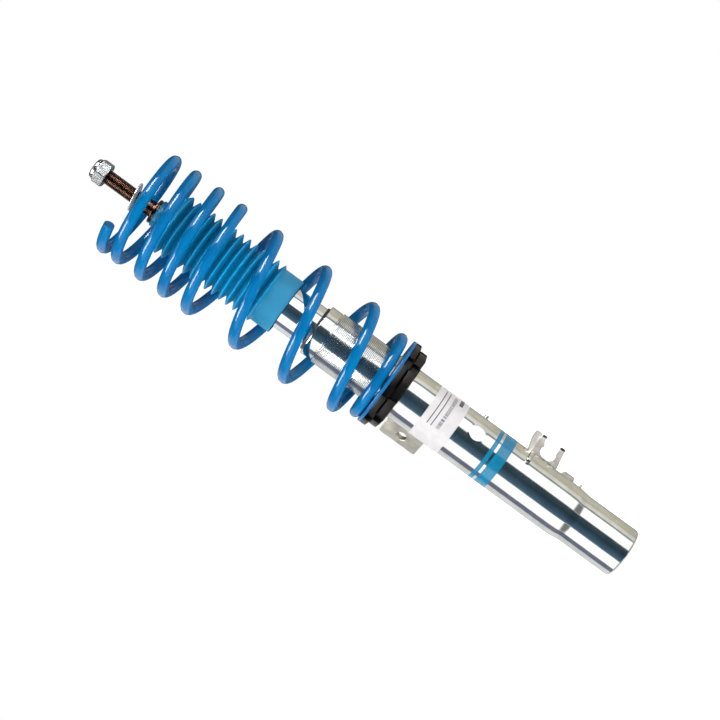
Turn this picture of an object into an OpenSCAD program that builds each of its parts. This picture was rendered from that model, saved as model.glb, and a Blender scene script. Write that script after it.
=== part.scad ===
// Height-adjustable front suspension strut: an inverted monotube damper slides in a threaded
// strut tube, and a progressive coil spring stands on two adjuster rings on the tube's thread.
//
// Z runs along the strut. z = 0 is the lower end of the tube, which clamps in the knuckle, and
// +X is the side of the hose bracket. The strut is drawn fully extended.

/* [Damper] */
// Outer diameter of the chromed damper tube
damper_od = 42; // [36:0.5:51]
// Wall of the damper tube
damper_wall = 2; // [1.6:0.1:3]
// Length of the damper tube outside the strut tube
damper_out = 162.6; // [130:0.2:200]
// Length of the damper tube inside the strut tube
damper_in = 197.4; // [160:0.2:240]
// Diameter of the fixed piston rod
rod_d = 14; // [11:0.5:17]
// Diameter of the rod's reduced ends, which carry the piston and the lower nut
rod_end_d = 10; // [8:0.5:11]
// Length of the rod guide in the damper's mouth
guide_h = 20; // [14:1:26]
// Height of the rod seal above the guide
rod_seal_h = 8; // [5:0.5:12]
// Height of the piston
piston_h = 18; // [12:1:24]
// Height of the floating gas piston
gas_piston_h = 20; // [14:1:28]
// Thickness of the cap that closes the damper tube
end_cap_h = 14; // [10:1:20]

/* [Strut tube] */
// Length of the strut tube
tube_len = 345.4; // [286:0.2:416]
// Wall of the tube's upper part
tube_wall = 2.5; // [2:0.1:4]
// Wall of the two bushes that guide the damper
bush_wall = 2.4; // [1.8:0.1:3.5]
// Height of each guide bush
bush_h = 25; // [16:1:32]
// Distance between the two guide bushes, centre to centre
bush_spacing = 86; // [70:1:105]
// Length of the plain lower end that clamps in the knuckle
socket_len = 53.5; // [40:0.5:60]
// Wall of the lower end
socket_wall = 2.45; // [2:0.05:4]
// Gap between the damper tube and the lower end's bore
socket_gap = 1; // [0.6:0.1:2]
// Length of the taper above the lower end
taper_len = 20.5; // [17:0.5:32]
// Chamfer on the tube's lower edge
tube_chamfer = 1.2; // [0.5:0.1:2]
// Height of the plain band above the thread
mouth_len = 11.7; // [8:0.1:16]
// How far the wiper seal stands out of the tube's mouth
wiper_rise = 2.5; // [1.5:0.1:4]
// Thickness of the plate that holds the piston rod
plate_t = 8; // [6:0.5:12]
// Depth of the recess below the plate
plate_recess = 12; // [10:0.5:18]
// Height of the bump stop
bump_h = 29; // [20:1:36]

/* [Thread] */
// Where the tube's thread starts
thread_start = 246; // [210:1:250]
// Pitch of the tube's thread
thread_pitch = 1.5; // [1.5:0.5:3]
// Depth of the tube's thread
thread_depth = 0.9; // [0.6:0.1:1.4]
// How far the rolled crest stands out from the tube
thread_rise = 0.6; // [0.3:0.1:1]

/* [Adjuster rings] */
// Distance from the thread's start to the lock ring
ring_lift = 2; // [0:0.5:20]
// Height of the lower ring, which locks the upper one
lock_ring_h = 9; // [6:0.5:12]
// Radial width of the lower ring
lock_ring_w = 13.6; // [10:0.2:16]
// Height of the upper ring, which carries the spring
perch_ring_h = 7; // [5:0.5:10]
// Radial width of the upper ring
perch_ring_w = 17.7; // [15:0.1:21]
// Thickness of the blue seat ring under the spring
seat_ring_h = 3.2; // [2:0.2:5]
// Number of spanner notches in each ring
notch_count = 8; // [4:1:10]
// Width of a spanner notch, as an angle
notch_angle = 14; // [8:1:18]
// Depth of a spanner notch
notch_depth = 4.5; // [2.5:0.5:6]

/* [Coil spring] */
// Diameter of the spring wire
wire_d = 10.5; // [8.8:0.1:12.6]
// Outer diameter of the spring's upper coils
coil_od = 112.5; // [93.5:0.5:135]
// Turns over which the spring narrows to its seat
narrow_turns = 3.6; // [2:0.1:5]
// How far the coils stand over to one side of the strut's axis
spring_lean = 3.2; // [0:0.1:5]
// Turns from the seat side to where the close coils start
open_turns = 4; // [3:0.1:5]
// Turns of close coils above the open ones
close_turns = 4.15; // [3:0.05:5]
// Pitch of the close coils, as a share of the open coils' pitch
close_ratio = 0.47; // [0.4:0.01:0.7]

/* [Dust boot] */
// Number of folds
fold_count = 14; // [10:1:16]
// Depth of a fold
fold_depth = 7; // [4:0.5:8.5]
// Gap between the damper tube and the inside of the folds' valleys
boot_gap = 1.65; // [1:0.05:4]
// Wall of the boot
boot_wall = 1.2; // [0.8:0.1:1.6]
// Length of the plain cuff
cuff_len = 21.6; // [14:0.2:28]
// Gap between the damper tube and the cuff's bore
cuff_gap = 5.65; // [4:0.05:8]
// Length of bare chrome between the tube's mouth and the cuff
chrome_show = 33.8; // [20:0.2:45]

/* [Stud and nut] */
// Diameter of the top stud's thread
stud_d = 14; // [11.6:0.2:17]
// Length of the top stud above its shank
stud_len = 49; // [42:0.5:60]
// Radial step from the stud up to the shank, which the washer rests on
shank_step = 0.6; // [0.6:0.1:1.6]
// Length of the shank
shank_len = 17; // [12:0.5:22]
// Diameter of the shoulder on the damper's top
shoulder_d = 24.4; // [20.2:0.2:29.4]
// Height of the shoulder
shoulder_len = 20; // [16:0.5:24]
// Outer diameter of the dished washer
washer_d = 28; // [24:0.5:33]
// Thickness of the dished washer
washer_t = 1.5; // [1:0.1:2.5]
// How far the washer's rim is dished
washer_dish = 1.2; // [0:0.1:2]
// Lean of the loose washer
washer_tilt = 9; // [0:1:9]
// Wall of the lock nut at its flats
nut_wall = 4; // [3.3:0.1:5]
// Height of the lock nut
nut_h = 15; // [12.4:0.2:20]

/* [Hose bracket] */
// Height of the slot's centre
hose_z = 108.5; // [100:0.5:114]
// Thickness of the bracket's sheet
sheet_t = 2.5; // [2:0.1:3.2]
// Widest opening of the slot
slot_w = 15; // [13:0.5:17]
// Radius of the slot's rounded floor corners
slot_r = 5.6; // [4:0.1:6]
// Metal between the tube and the slot's floor
slot_floor = 1.8; // [1.2:0.1:3]
// Width of the slot's narrow mouth
slot_mouth = 12.7; // [11:0.1:12.9]
// How far the sheet reaches from the tube to the bent tips
bracket_reach = 15.5; // [14:0.5:18]
// Length of the bent tips
tip_len = 4; // [2:0.5:6]
// Width of the side flange at its outer end
flange_w = 9; // [6:0.5:12]

/* [Link plate] */
// Height of the plate's hole
link_z = 223.6; // [200:0.2:226]
// Height of the plate
link_h = 40; // [34:1:46]
// How far the plate reaches from the tube
link_reach = 36.8; // [32:0.2:44]
// Thickness of the plate
link_t = 5; // [4:0.5:6]
// Diameter of the hole
link_hole_d = 10; // [8.2:0.2:12]
// Distance of the hole from the tube
link_hole_out = 24; // [18:0.5:26]
// Direction of the plate around the tube
link_angle = 129; // [100:1:150]

/* [Small fittings] */
// Height of the locating lug's lower end
lug_z = 74.2; // [74.2:0.2:80]
// Length of the locating lug
lug_len = 13; // [10:0.5:16]
// Width of the locating lug
lug_w = 6; // [4:0.5:8]
// How far the locating lug stands out
lug_rise = 4.2; // [3:0.2:6]
// Direction of the lug, the pin and the stud around the tube
lug_angle = 12; // [0:1:30]
// Height of the small locating pin
pin_z = 66; // [60:0.5:70]
// Diameter of the small locating pin
pin_d = 2.4; // [2:0.1:4]
// Height of the cable stud
cable_stud_z = 173; // [165:1:185]
// Diameter of the cable stud
cable_stud_d = 4.4; // [3.6:0.2:6]
// How far the pin and the cable stud stand out
stub_rise = 3.6; // [3:0.2:5]

/* [Labels] */
// Lower edge of the silver label
label_z = 191.4; // [185:0.2:200]
// Height of the silver label
label_h = 31.8; // [24:0.2:40]
// Lower edge of the blue band
band_z = 138.2; // [134:0.1:145]
// Height of the band's wide stripe
band_h = 11.5; // [8:0.5:16]
// Height of the bare gap in the band
band_gap = 2.5; // [2:0.5:5]
// Height of the band's narrow stripe
stripe_h = 4.1; // [3:0.1:6]
// Thickness of the printed films
film_t = 0.12; // [0.1:0.02:0.3]

/* [Fits] */
// Radial running fit between sliding or turning pieces
run_fit = 0.05; // [0.02:0.01:0.1]
// Gap between pieces that only pass each other
clearance = 0.3; // [0.2:0.05:0.6]

/* [Hidden] */
$fn = 96;

zinc = "silver";
steel = "lightsteelblue";
spring_blue = "dodgerblue";

// Radii, from the damper outwards
damper_r = damper_od / 2;
bore_r = damper_r - damper_wall;
bush_r = damper_r + run_fit + bush_wall;
tube_r = bush_r + tube_wall;
socket_bore_r = damper_r + socket_gap;
socket_r = socket_bore_r + socket_wall;
mouth_r = tube_r - 0.5;
crest_r = tube_r + thread_rise;
root_r = crest_r - thread_depth;
ring_bore_r = crest_r + run_fit;
lock_ring_r = crest_r + lock_ring_w;
perch_ring_r = crest_r + perch_ring_w;
rod_r = rod_d / 2;
rod_end_r = rod_end_d / 2;
stud_r = stud_d / 2;
shank_r = stud_r + shank_step;
nut_thread_r = stud_r - 0.2;
nut_bore_r = nut_thread_r + run_fit;
nut_af = stud_d + 2 * nut_wall;

// Heights in the strut tube
plate_top = plate_recess + plate_t;
bump_top = plate_top + bump_h;
taper_top = socket_len + taper_len;
thread_end = tube_len - mouth_len;
relief_h = 0.9;
upper_bush_z = tube_len - 2.4 - bush_h;
lower_bush_z = upper_bush_z - bush_spacing;
lock_ring_z = thread_start + ring_lift;
perch_ring_z = lock_ring_z + lock_ring_h;
seat_ring_z = perch_ring_z + perch_ring_h;
seat_z = seat_ring_z + seat_ring_h;

// Heights in the damper
damper_bottom = tube_len - damper_in;
damper_top = tube_len + damper_out;
stroke = damper_bottom - bump_top - 1;
circlip_t = 2;
circlip_z = damper_bottom + 2;
guide_z = circlip_z + circlip_t;
rod_seal_z = guide_z + guide_h;
rebound_z = rod_seal_z + rod_seal_h + clearance;
rebound_h = 4;
shim_t = 2.5;
piston_z = rebound_z + rebound_h + shim_t;
piston_nut_z = piston_z + piston_h + shim_t;
piston_nut_h = 8;
rod_top = piston_nut_z + piston_nut_h + 2;
gas_margin = 12;
gas_piston_z = rod_top + stroke + gas_margin;
shoulder_top = damper_top + shoulder_len;
shank_top = shoulder_top + shank_len;
stud_top = shank_top + stud_len;
washer_z = shank_top + 2.6;
grip_z = washer_z + 4.4;
nut_rim = 0.8;
nut_z = stud_top + nut_rim - nut_h;

// Dust boot
boot_valley_r = damper_r + boot_gap + boot_wall;
boot_peak_r = boot_valley_r + fold_depth;
cuff_r = damper_r + cuff_gap + boot_wall;
cuff_z = tube_len + chrome_show;
cuff_top = cuff_z + cuff_len;
first_fold_z = cuff_top + 0.6;
last_fold_z = damper_top - 2.6;
fold_pitch = (last_fold_z - first_fold_z) / (fold_count - 1);
neck_bore_r = shoulder_d / 2 + clearance;
neck_wall = 0.75;
neck_z = damper_top + 12.5;
neck_top = shoulder_top - 4;

// Coil spring
wire_r = wire_d / 2;
coil_r = coil_od / 2 - wire_r;
seat_coil_r = perch_ring_r - wire_r + 0.2;
seat_tail = 0.25;
spring_turns = open_turns + close_turns;
spring_bottom = seat_z + wire_r + clearance;
spring_top = washer_z - 0.5;
wire_sides = 12;
rings_per_turn = 24;

// How far a ramp of width w centred on turn m has climbed by turn n
function ramp(n, m, w) =
    n <= m - w / 2 ? 0 :
    n >= m + w / 2 ? n - m :
    (n - m + w / 2) ^ 2 / (2 * w);

// Climb of the wire in turns of open pitch: flat on the seat, open coils, close coils, end coil
function climb(n) =
    ramp(n, 0.72, 1.5)
    - (1 - close_ratio) * ramp(n, open_turns, 0.3)
    - 0.22 * ramp(n, spring_turns - 0.9, 0.5);

function wire_z(n) =
    spring_bottom + (spring_top - spring_bottom) * climb(n) / climb(spring_turns);

// Radius of the coils: the seat coil's at first, then wider by less and less
function wire_path_r(n) =
    let (grown = min(ramp(n, 0.55, 0.5) / (narrow_turns - 0.55), 1))
    seat_coil_r + (coil_r - seat_coil_r) * (1 - exp(-5.2 * grown)) / (1 - exp(-5.2));

// Centre of the wire n turns above the seat, with turn 0 on the -X side, and right-hand wound
function wire_at(n) = let (a = 180 + 360 * n, lean = spring_lean * (1 - exp(-max(n, 0) / 1.2)))
    [wire_path_r(n) * cos(a) - lean, wire_path_r(n) * sin(a), wire_z(n)];

// One ring of points round the wire, square to its path
function wire_ring(n) =
    let (step = 0.002,
         along = wire_at(n + step) - wire_at(n - step),
         t = along / norm(along),
         a = 180 + 360 * n,
         out = [cos(a), sin(a), 0],
         side = cross(t, out) / norm(cross(t, out)),
         up = cross(side, t))
    [for (k = [0 : wire_sides - 1])
        wire_at(n) + wire_r * (up * cos(360 * k / wire_sides) + side * sin(360 * k / wire_sides))];

// Profile of the bellows, from the cuff up; inset moves it inwards by the wall
function fold_points(inset) = [
    for (i = [0 : fold_count - 1])
        let (z = first_fold_z + i * fold_pitch, last = i == fold_count - 1)
        for (p = last
                ? [[boot_peak_r, z - 0.5], [boot_peak_r, z + 0.5]]
                : [[boot_peak_r, z - 0.5], [boot_peak_r, z + 0.5],
                   [boot_valley_r, z + fold_pitch / 2 - 0.5],
                   [boot_valley_r, z + fold_pitch / 2 + 0.5]])
            [p[0] - inset, p[1]]
];

function backwards(points) = [for (i = [len(points) - 1 : -1 : 0]) points[i]];

// A turned ring with its outer edges chamfered by c
module turned_ring(outer, inner, z, h, c = 0.4) {
    rotate_extrude()
        polygon([[inner, z], [outer - c, z], [outer, z + c], [outer, z + h - c],
                 [outer - c, z + h], [inner, z + h]]);
}

// A hexagon, w across its flats, with turned corners
module hex_body(w, z, h, turn = 0) {
    corner_r = w / sqrt(3);
    edge_r = w / 2 - 0.4;
    wide_r = corner_r + 1;
    slope = (wide_r - edge_r) * 0.5;
    intersection() {
        translate([0, 0, z]) rotate([0, 0, turn]) cylinder(r = corner_r, h = h, $fn = 6);
        rotate_extrude()
            polygon([[0, z], [edge_r, z], [wide_r, z + slope], [wide_r, z + h - slope],
                     [edge_r, z + h], [0, z + h]]);
    }
}

// Outline of the strut tube's outside up to height top, without the thread
function tube_outline(top) = concat(
    [[socket_r - tube_chamfer, 0], [socket_r, tube_chamfer]],
    [for (i = [0 : 8])
        [socket_r + (tube_r - socket_r) * (1 - cos(180 * i / 8)) / 2,
         socket_len + taper_len * i / 8]],
    [[tube_r, top]]
);

module tube_blank() {
    rotate_extrude()
        polygon(concat([[0, 0]], tube_outline(thread_start), [[0, thread_start]]));
}

module strut_tube() {
    turns = floor((thread_end - relief_h - thread_start - thread_pitch) / thread_pitch);
    flank = thread_pitch / 2;
    color(zinc) rotate_extrude()
        polygon(concat(
            [[socket_bore_r, 0]],
            tube_outline(thread_start),
            [for (i = [0 : turns - 1])
                let (z = thread_start + i * thread_pitch)
                for (p = [[root_r, z + flank * 0.6], [crest_r, z + flank * 1.4],
                          [crest_r, z + flank * 1.7]]) p],
            [[root_r, thread_start + (turns + 0.4) * thread_pitch],
             [root_r, thread_end - relief_h], [mouth_r - 0.5, thread_end - relief_h],
             [mouth_r - 0.5, thread_end], [mouth_r, thread_end + 0.3],
             [mouth_r, tube_len - 0.6], [mouth_r - 0.6, tube_len], [bush_r, tube_len],
             [bush_r, taper_top + 6], [socket_bore_r, taper_top]]
        ));
}

module bottom_plate() {
    color(zinc) turned_ring(socket_bore_r, rod_end_r, plate_recess, plate_t, 0.8);
}

module rod_nut() {
    color(zinc) difference() {
        hex_body(rod_end_d * 1.7, plate_recess - 8, 8);
        translate([0, 0, plate_recess - 9]) cylinder(r = rod_end_r, h = 10);
    }
}

module bump_stop() {
    low_r = rod_r + 10;
    top_r = rod_r + 7;
    color("darkslategray") rotate_extrude()
        polygon([[rod_r + clearance, plate_top], [low_r, plate_top],
                 [low_r, plate_top + bump_h * 0.4], [low_r - 3, plate_top + bump_h * 0.5],
                 [low_r - 1, plate_top + bump_h * 0.6], [top_r, bump_top - 0.8],
                 [top_r - 1.5, bump_top], [rod_r + clearance, bump_top]]);
}

module piston_rod() {
    color(steel) rotate_extrude()
        polygon([[0, plate_recess - 9.5], [rod_end_r - 0.8, plate_recess - 9.5],
                 [rod_end_r, plate_recess - 8.7], [rod_end_r, plate_top], [rod_r, plate_top],
                 [rod_r, rebound_z + rebound_h], [rod_end_r, rebound_z + rebound_h],
                 [rod_end_r, rod_top - 0.8], [rod_end_r - 0.8, rod_top], [0, rod_top]]);
}

module rebound_stop() {
    color("dimgray") turned_ring(rod_r + 4, rod_r, rebound_z, rebound_h, 0.8);
}

module valve_shims() {
    color("gray") for (z = [piston_z - shim_t, piston_z + piston_h])
        rotate_extrude()
            polygon([[rod_end_r, z], [bore_r - 4, z], [bore_r - 4, z + shim_t],
                     [rod_end_r, z + shim_t]]);
}

// The band sits in a groove round the piston
band_seat_r = bore_r - 1.8;
band_seat_h = 8;

module piston() {
    low = piston_z + (piston_h - band_seat_h) / 2;
    high = low + band_seat_h;
    ports = 6;
    color("darkgray") difference() {
        rotate_extrude()
            polygon([[rod_end_r, piston_z], [bore_r - 0.4, piston_z], [bore_r - 0.4, low],
                     [band_seat_r, low], [band_seat_r, high], [bore_r - 0.4, high],
                     [bore_r - 0.4, piston_z + piston_h], [rod_end_r, piston_z + piston_h]]);
        for (i = [0 : ports - 1])
            rotate([0, 0, 360 * i / ports])
                translate([(rod_end_r + band_seat_r) / 2, 0, piston_z - 1])
                    cylinder(r = 2, h = piston_h + 2, $fn = 32);
    }
}

module piston_band() {
    color("black")
        turned_ring(bore_r - run_fit, band_seat_r, piston_z + (piston_h - band_seat_h) / 2,
                    band_seat_h, 0.2);
}

module piston_nut() {
    color(zinc) difference() {
        hex_body(rod_end_d * 1.7, piston_nut_z, piston_nut_h);
        translate([0, 0, piston_nut_z - 1]) cylinder(r = rod_end_r, h = piston_nut_h + 2);
    }
}

module guide_bush(z) {
    color("goldenrod") turned_ring(bush_r, damper_r + run_fit, z, bush_h, 0.3);
}

module wiper_seal() {
    top_r = damper_r + 1.3;
    z = upper_bush_z + bush_h;
    color("black") rotate_extrude()
        polygon([[damper_r + run_fit, z], [bush_r, z], [bush_r, tube_len], [top_r, tube_len],
                 [top_r, tube_len + wiper_rise - 0.7], [top_r - 0.7, tube_len + wiper_rise],
                 [damper_r + run_fit, tube_len + wiper_rise]]);
}

module link_plate() {
    outer = tube_r + link_reach;
    corner = 2;
    hole_x = tube_r + link_hole_out;
    color(zinc) difference() {
        rotate([0, 0, link_angle]) difference() {
            translate([0, link_t / 2, 0]) rotate([90, 0, 0]) linear_extrude(link_t)
                union() {
                    translate([tube_r - 2, link_z - link_h / 2 + corner])
                        square([link_reach + 2, link_h - 2 * corner]);
                    translate([tube_r - 2, link_z - link_h / 2])
                        square([link_reach + 2 - corner, link_h]);
                    for (side = [-1, 1])
                        translate([outer - corner, link_z + side * (link_h / 2 - corner)])
                            circle(r = corner, $fn = 32);
                }
            translate([hole_x, link_t / 2 + 1, link_z]) rotate([90, 0, 0])
                cylinder(r = link_hole_d / 2, h = link_t + 2);
        }
        tube_blank();
        translate([0, 0, thread_start - 1]) cylinder(r = ring_bore_r, h = 20);
    }
}

// Heights on the hose bracket, from its slot's centre
bracket_low = hose_z - slot_w / 2 - 7;
bracket_high = hose_z + slot_w / 2 + 7;
tip_low = bracket_low + 2.8;
mouth_low = hose_z - slot_mouth / 2;
mouth_high = hose_z + slot_mouth / 2;

// The bracket's sheet as seen from the front, x outwards and y up
module bracket_outline() {
    tip_x = tube_r + bracket_reach;
    floor_x = tube_r + slot_floor + slot_r;
    spread = slot_w / 2 - slot_r;
    difference() {
        polygon([[tube_r - 3, bracket_low], [tube_r + 1, bracket_low], [tip_x, tip_low],
                 [tip_x, bracket_high], [tube_r - 3, bracket_high]]);
        for (side = [-1, 1])
            translate([floor_x, hose_z + side * spread]) circle(r = slot_r, $fn = 48);
        translate([floor_x - slot_r, hose_z - spread]) square([2 * slot_r, 2 * spread]);
        polygon([[floor_x, mouth_low], [tip_x + 1, mouth_low], [tip_x + 1, mouth_high + 2.6],
                 [tip_x - 1, mouth_high + 2.4], [floor_x + 3.3, mouth_high],
                 [floor_x, mouth_high]]);
    }
}

module hose_bracket() {
    tip_x = tube_r + bracket_reach;
    foot_z = bracket_high - 4;
    color(zinc) difference() {
        union() {
            translate([0, sheet_t / 2, 0]) rotate([90, 0, 0]) linear_extrude(sheet_t)
                bracket_outline();
            // Bent tips of the two prongs
            for (tip = [[tip_low, mouth_low], [mouth_high + 2.6, bracket_high - 0.4]])
                translate([tip_x - 0.4, -sheet_t / 2, tip[0]]) rotate([0, 0, 45])
                    cube([tip_len + 0.9, sheet_t, tip[1] - tip[0]]);
            // Side flange, bent backwards and wider at its outer end
            translate([0, sheet_t / 2 - 0.8, bracket_high - 0.6]) rotate([40, 0, 0])
                linear_extrude(sheet_t)
                    polygon([[tube_r - 3, -1], [tip_x + 2, -1], [tip_x + 4, 1],
                             [tip_x + 4, flange_w - 1], [tip_x + 3, flange_w],
                             [tip_x - 4, flange_w], [tube_r - 3, flange_w * 0.45]]);
            // Foot strip that hugs the tube towards the front
            rotate([0, 0, -59]) rotate_extrude(angle = 59)
                polygon([[tube_r - 1, foot_z - 1], [tube_r + sheet_t - 0.7, foot_z - 1],
                         [tube_r + sheet_t, foot_z - 0.3], [tube_r + sheet_t, foot_z + 3.6],
                         [tube_r + sheet_t - 0.7, foot_z + 4.3], [tube_r - 1, foot_z + 4.3]]);
        }
        tube_blank();
    }
}

module locating_lug() {
    color(zinc) difference() {
        rotate([0, 0, lug_angle]) translate([tube_r - 1, 0, lug_z]) union() {
            translate([0, -lug_w / 2, lug_rise / 2])
                cube([lug_rise + 1, lug_w, lug_len - lug_rise]);
            translate([0, -lug_w / 2, 0]) cube([lug_rise / 2 + 1, lug_w, lug_len]);
            for (z = [lug_rise / 2, lug_len - lug_rise / 2])
                translate([lug_rise / 2 + 1, lug_w / 2, z]) rotate([90, 0, 0])
                    cylinder(r = lug_rise / 2, h = lug_w, $fn = 48);
        }
        tube_blank();
    }
}

// A round stub that stands out from the tube at height z
module stub(z, d, turn) {
    difference() {
        rotate([0, 0, turn]) translate([tube_r - 3, 0, z]) rotate([0, 90, 0]) union() {
            cylinder(r = d / 2, h = stub_rise + 2.4, $fn = 48);
            cylinder(r = d / 2 - 0.4, h = stub_rise + 3, $fn = 48);
        }
        tube_blank();
    }
}

module locating_pin() {
    color(zinc) stub(pin_z, pin_d, lug_angle);
}

module cable_stud() {
    color(zinc) stub(cable_stud_z, cable_stud_d, lug_angle);
}

// A film wrapped round the tube's front
module film(z, h, wrap) {
    rotate([0, 0, -90 - wrap / 2]) rotate_extrude(angle = wrap)
        translate([tube_r, z]) square([film_t, h]);
}

module silver_label() {
    color("whitesmoke") film(label_z, label_h, 200);
}

module blue_band() {
    color("deepskyblue") {
        film(band_z, band_h, 300);
        film(band_z + band_h + band_gap, stripe_h, 300);
    }
}

// The ring sits in a groove round the gas piston
gas_ring_h = 4;

module gas_piston() {
    z = gas_piston_z;
    low = z + (gas_piston_h - gas_ring_h) / 2;
    rim = bore_r - 0.3;
    color("darkgray") rotate_extrude()
        polygon([[0, z], [rim, z], [rim, low], [rim - 3, low], [rim - 3, low + gas_ring_h],
                 [rim, low + gas_ring_h], [rim, z + gas_piston_h], [rim - 4, z + gas_piston_h],
                 [rim - 6, z + gas_piston_h * 0.5], [0, z + gas_piston_h * 0.5]]);
}

module gas_piston_ring() {
    color("black")
        turned_ring(bore_r - run_fit, bore_r - 3.3,
                    gas_piston_z + (gas_piston_h - gas_ring_h) / 2, gas_ring_h, 0.5);
}

module damper_tube() {
    groove_r = bore_r + damper_wall * 0.45;
    color(steel) rotate_extrude()
        polygon([[bore_r, damper_bottom], [damper_r - 0.6, damper_bottom],
                 [damper_r, damper_bottom + 0.6], [damper_r, damper_top - 1],
                 [damper_r - 1, damper_top], [bore_r, damper_top],
                 [bore_r, guide_z], [groove_r, guide_z], [groove_r, circlip_z],
                 [bore_r, circlip_z]]);
}

module end_cap() {
    color("gray") rotate_extrude()
        polygon([[stud_r + 2, damper_top - end_cap_h], [bore_r, damper_top - end_cap_h],
                 [bore_r, damper_top], [stud_r + 2, damper_top]]);
}

// The upper mount grips the stud between the washer and the nut, and the nut runs on its end
module top_stud() {
    shoulder_r = shoulder_d / 2;
    color("dimgray") rotate_extrude()
        polygon([[0, damper_top - end_cap_h + 2], [stud_r + 1.2, damper_top - end_cap_h + 2],
                 [stud_r + 2, damper_top - end_cap_h + 2.8], [stud_r + 2, damper_top],
                 [shoulder_r, damper_top], [shoulder_r, shoulder_top - 0.9],
                 [shoulder_r - 0.9, shoulder_top], [shank_r, shoulder_top],
                 [shank_r, shank_top - 0.3], [shank_r - 0.3, shank_top],
                 [stud_r - 0.5, shank_top], [stud_r - 0.5, grip_z], [stud_r, grip_z],
                 [stud_r, nut_z - 1], [nut_thread_r, nut_z - 1], [nut_thread_r, stud_top - 1],
                 [nut_thread_r - 1, stud_top], [0, stud_top]]);
}

module top_washer() {
    hole_r = stud_r + 0.55;
    rim_r = washer_d / 2;
    color(zinc) translate([0, 0, washer_z]) rotate([0, -washer_tilt, 0]) rotate_extrude()
        polygon([[hole_r, -washer_t / 2], [hole_r + 1.5, -washer_t / 2],
                 [rim_r, washer_dish - washer_t / 2], [rim_r, washer_dish + washer_t / 2],
                 [hole_r + 1.5, washer_t / 2], [hole_r, washer_t / 2]]);
}

module rod_guide() {
    color("darkgray") turned_ring(bore_r, rod_r + run_fit, guide_z, guide_h, 0.4);
}

module rod_seal() {
    color("black") turned_ring(bore_r, rod_r + run_fit, rod_seal_z, rod_seal_h, 0.6);
}

module guide_circlip() {
    gap_angle = 30;
    color("gray") rotate([0, 0, gap_angle / 2]) rotate_extrude(angle = 360 - gap_angle)
        polygon([[bore_r - 2.5, circlip_z], [bore_r + damper_wall * 0.45, circlip_z],
                 [bore_r + damper_wall * 0.45, guide_z], [bore_r - 2.5, guide_z]]);
}

module dust_boot() {
    bead = 1.6;
    outside = concat(
        [[cuff_r, cuff_z], [cuff_r, cuff_top - bead]],
        fold_points(0),
        [[neck_bore_r + neck_wall, neck_z], [neck_bore_r + neck_wall, neck_top]]
    );
    inside = concat(
        [[cuff_r - boot_wall, cuff_z], [cuff_r - boot_wall, cuff_top - bead]],
        fold_points(boot_wall),
        [[neck_bore_r, neck_z - boot_wall], [neck_bore_r, neck_top]]
    );
    color("steelblue") rotate_extrude() polygon(concat(outside, backwards(inside)));
}

module seat_ring() {
    color(spring_blue)
        turned_ring(perch_ring_r, crest_r + clearance, seat_ring_z, seat_ring_h, 1);
}

// An adjuster ring with spanner notches, one of them just past the front
module notched_ring(outer, z, h) {
    first_notch = -99.5;
    floor_r = outer - notch_depth;
    half_w = tan(notch_angle / 2);
    color("black") difference() {
        turned_ring(outer, ring_bore_r, z, h, 1);
        for (i = [0 : notch_count - 1])
            rotate([0, 0, first_notch + 360 * i / notch_count])
                translate([0, 0, z - 1]) linear_extrude(h + 2)
                    polygon([[floor_r, -floor_r * half_w], [outer + 3, -outer * half_w],
                             [outer + 3, outer * half_w], [floor_r, floor_r * half_w]]);
    }
}

module perch_ring() {
    notched_ring(perch_ring_r, perch_ring_z, perch_ring_h);
}

module lock_ring() {
    notched_ring(lock_ring_r, lock_ring_z, lock_ring_h);
}

module coil_spring() {
    count = ceil((spring_turns + seat_tail) * rings_per_turn);
    step = (spring_turns + seat_tail) / count;
    points = [for (i = [0 : count]) each wire_ring(-seat_tail + i * step)];
    walls = [for (i = [0 : count - 1], k = [0 : wire_sides - 1])
        let (a = i * wire_sides + k, b = i * wire_sides + (k + 1) % wire_sides)
        for (face = [[a, a + wire_sides, b], [b, a + wire_sides, b + wire_sides]]) face];
    low_end = [for (k = [0 : wire_sides - 1]) k];
    high_end = [for (k = [wire_sides - 1 : -1 : 0]) count * wire_sides + k];
    color(spring_blue) polyhedron(points, concat(walls, [low_end, high_end]), convexity = 12);
}

// The nut's collar holds a plastic locking ring
collar_h = 4;
insert_r = stud_r + 1.9;
insert_h = 2.6;

module top_nut() {
    collar_z = nut_z + nut_h - collar_h;
    collar_r = nut_af / 2 - 1.2;
    top = nut_z + nut_h;
    color(zinc) difference() {
        union() {
            hex_body(nut_af, nut_z, nut_h - collar_h, 20);
            rotate_extrude()
                polygon([[0, collar_z - 1], [collar_r, collar_z - 1], [collar_r, top - 2],
                         [collar_r - 0.5, top - 0.8], [collar_r - 1.6, top], [0, top]]);
        }
        rotate_extrude()
            polygon([[0, nut_z - 1], [nut_bore_r, nut_z - 1],
                     [nut_bore_r, top - nut_rim - insert_h],
                     [insert_r, top - nut_rim - insert_h], [insert_r, top - nut_rim],
                     [stud_r + 0.7, top - nut_rim], [stud_r + 0.7, top + 1], [0, top + 1]]);
    }
}

module nut_insert() {
    color("white") rotate_extrude()
        translate([nut_bore_r, nut_z + nut_h - nut_rim - insert_h])
            square([insert_r - nut_bore_r, insert_h]);
}

strut_tube();
bottom_plate();
rod_nut();
bump_stop();
piston_rod();
rebound_stop();
piston();
piston_band();
valve_shims();
piston_nut();
guide_bush(lower_bush_z);  // lower_guide_bush
guide_bush(upper_bush_z);  // upper_guide_bush
wiper_seal();
link_plate();
hose_bracket();
locating_lug();
locating_pin();
cable_stud();
silver_label();
blue_band();
gas_piston();
gas_piston_ring();
damper_tube();
end_cap();
top_stud();
top_washer();
rod_guide();
rod_seal();
guide_circlip();
dust_boot();
seat_ring();
perch_ring();
lock_ring();
coil_spring();
top_nut();
nut_insert();
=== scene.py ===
import math

import bmesh
import bpy
import numpy as np
from mathutils import Matrix, Vector


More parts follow.
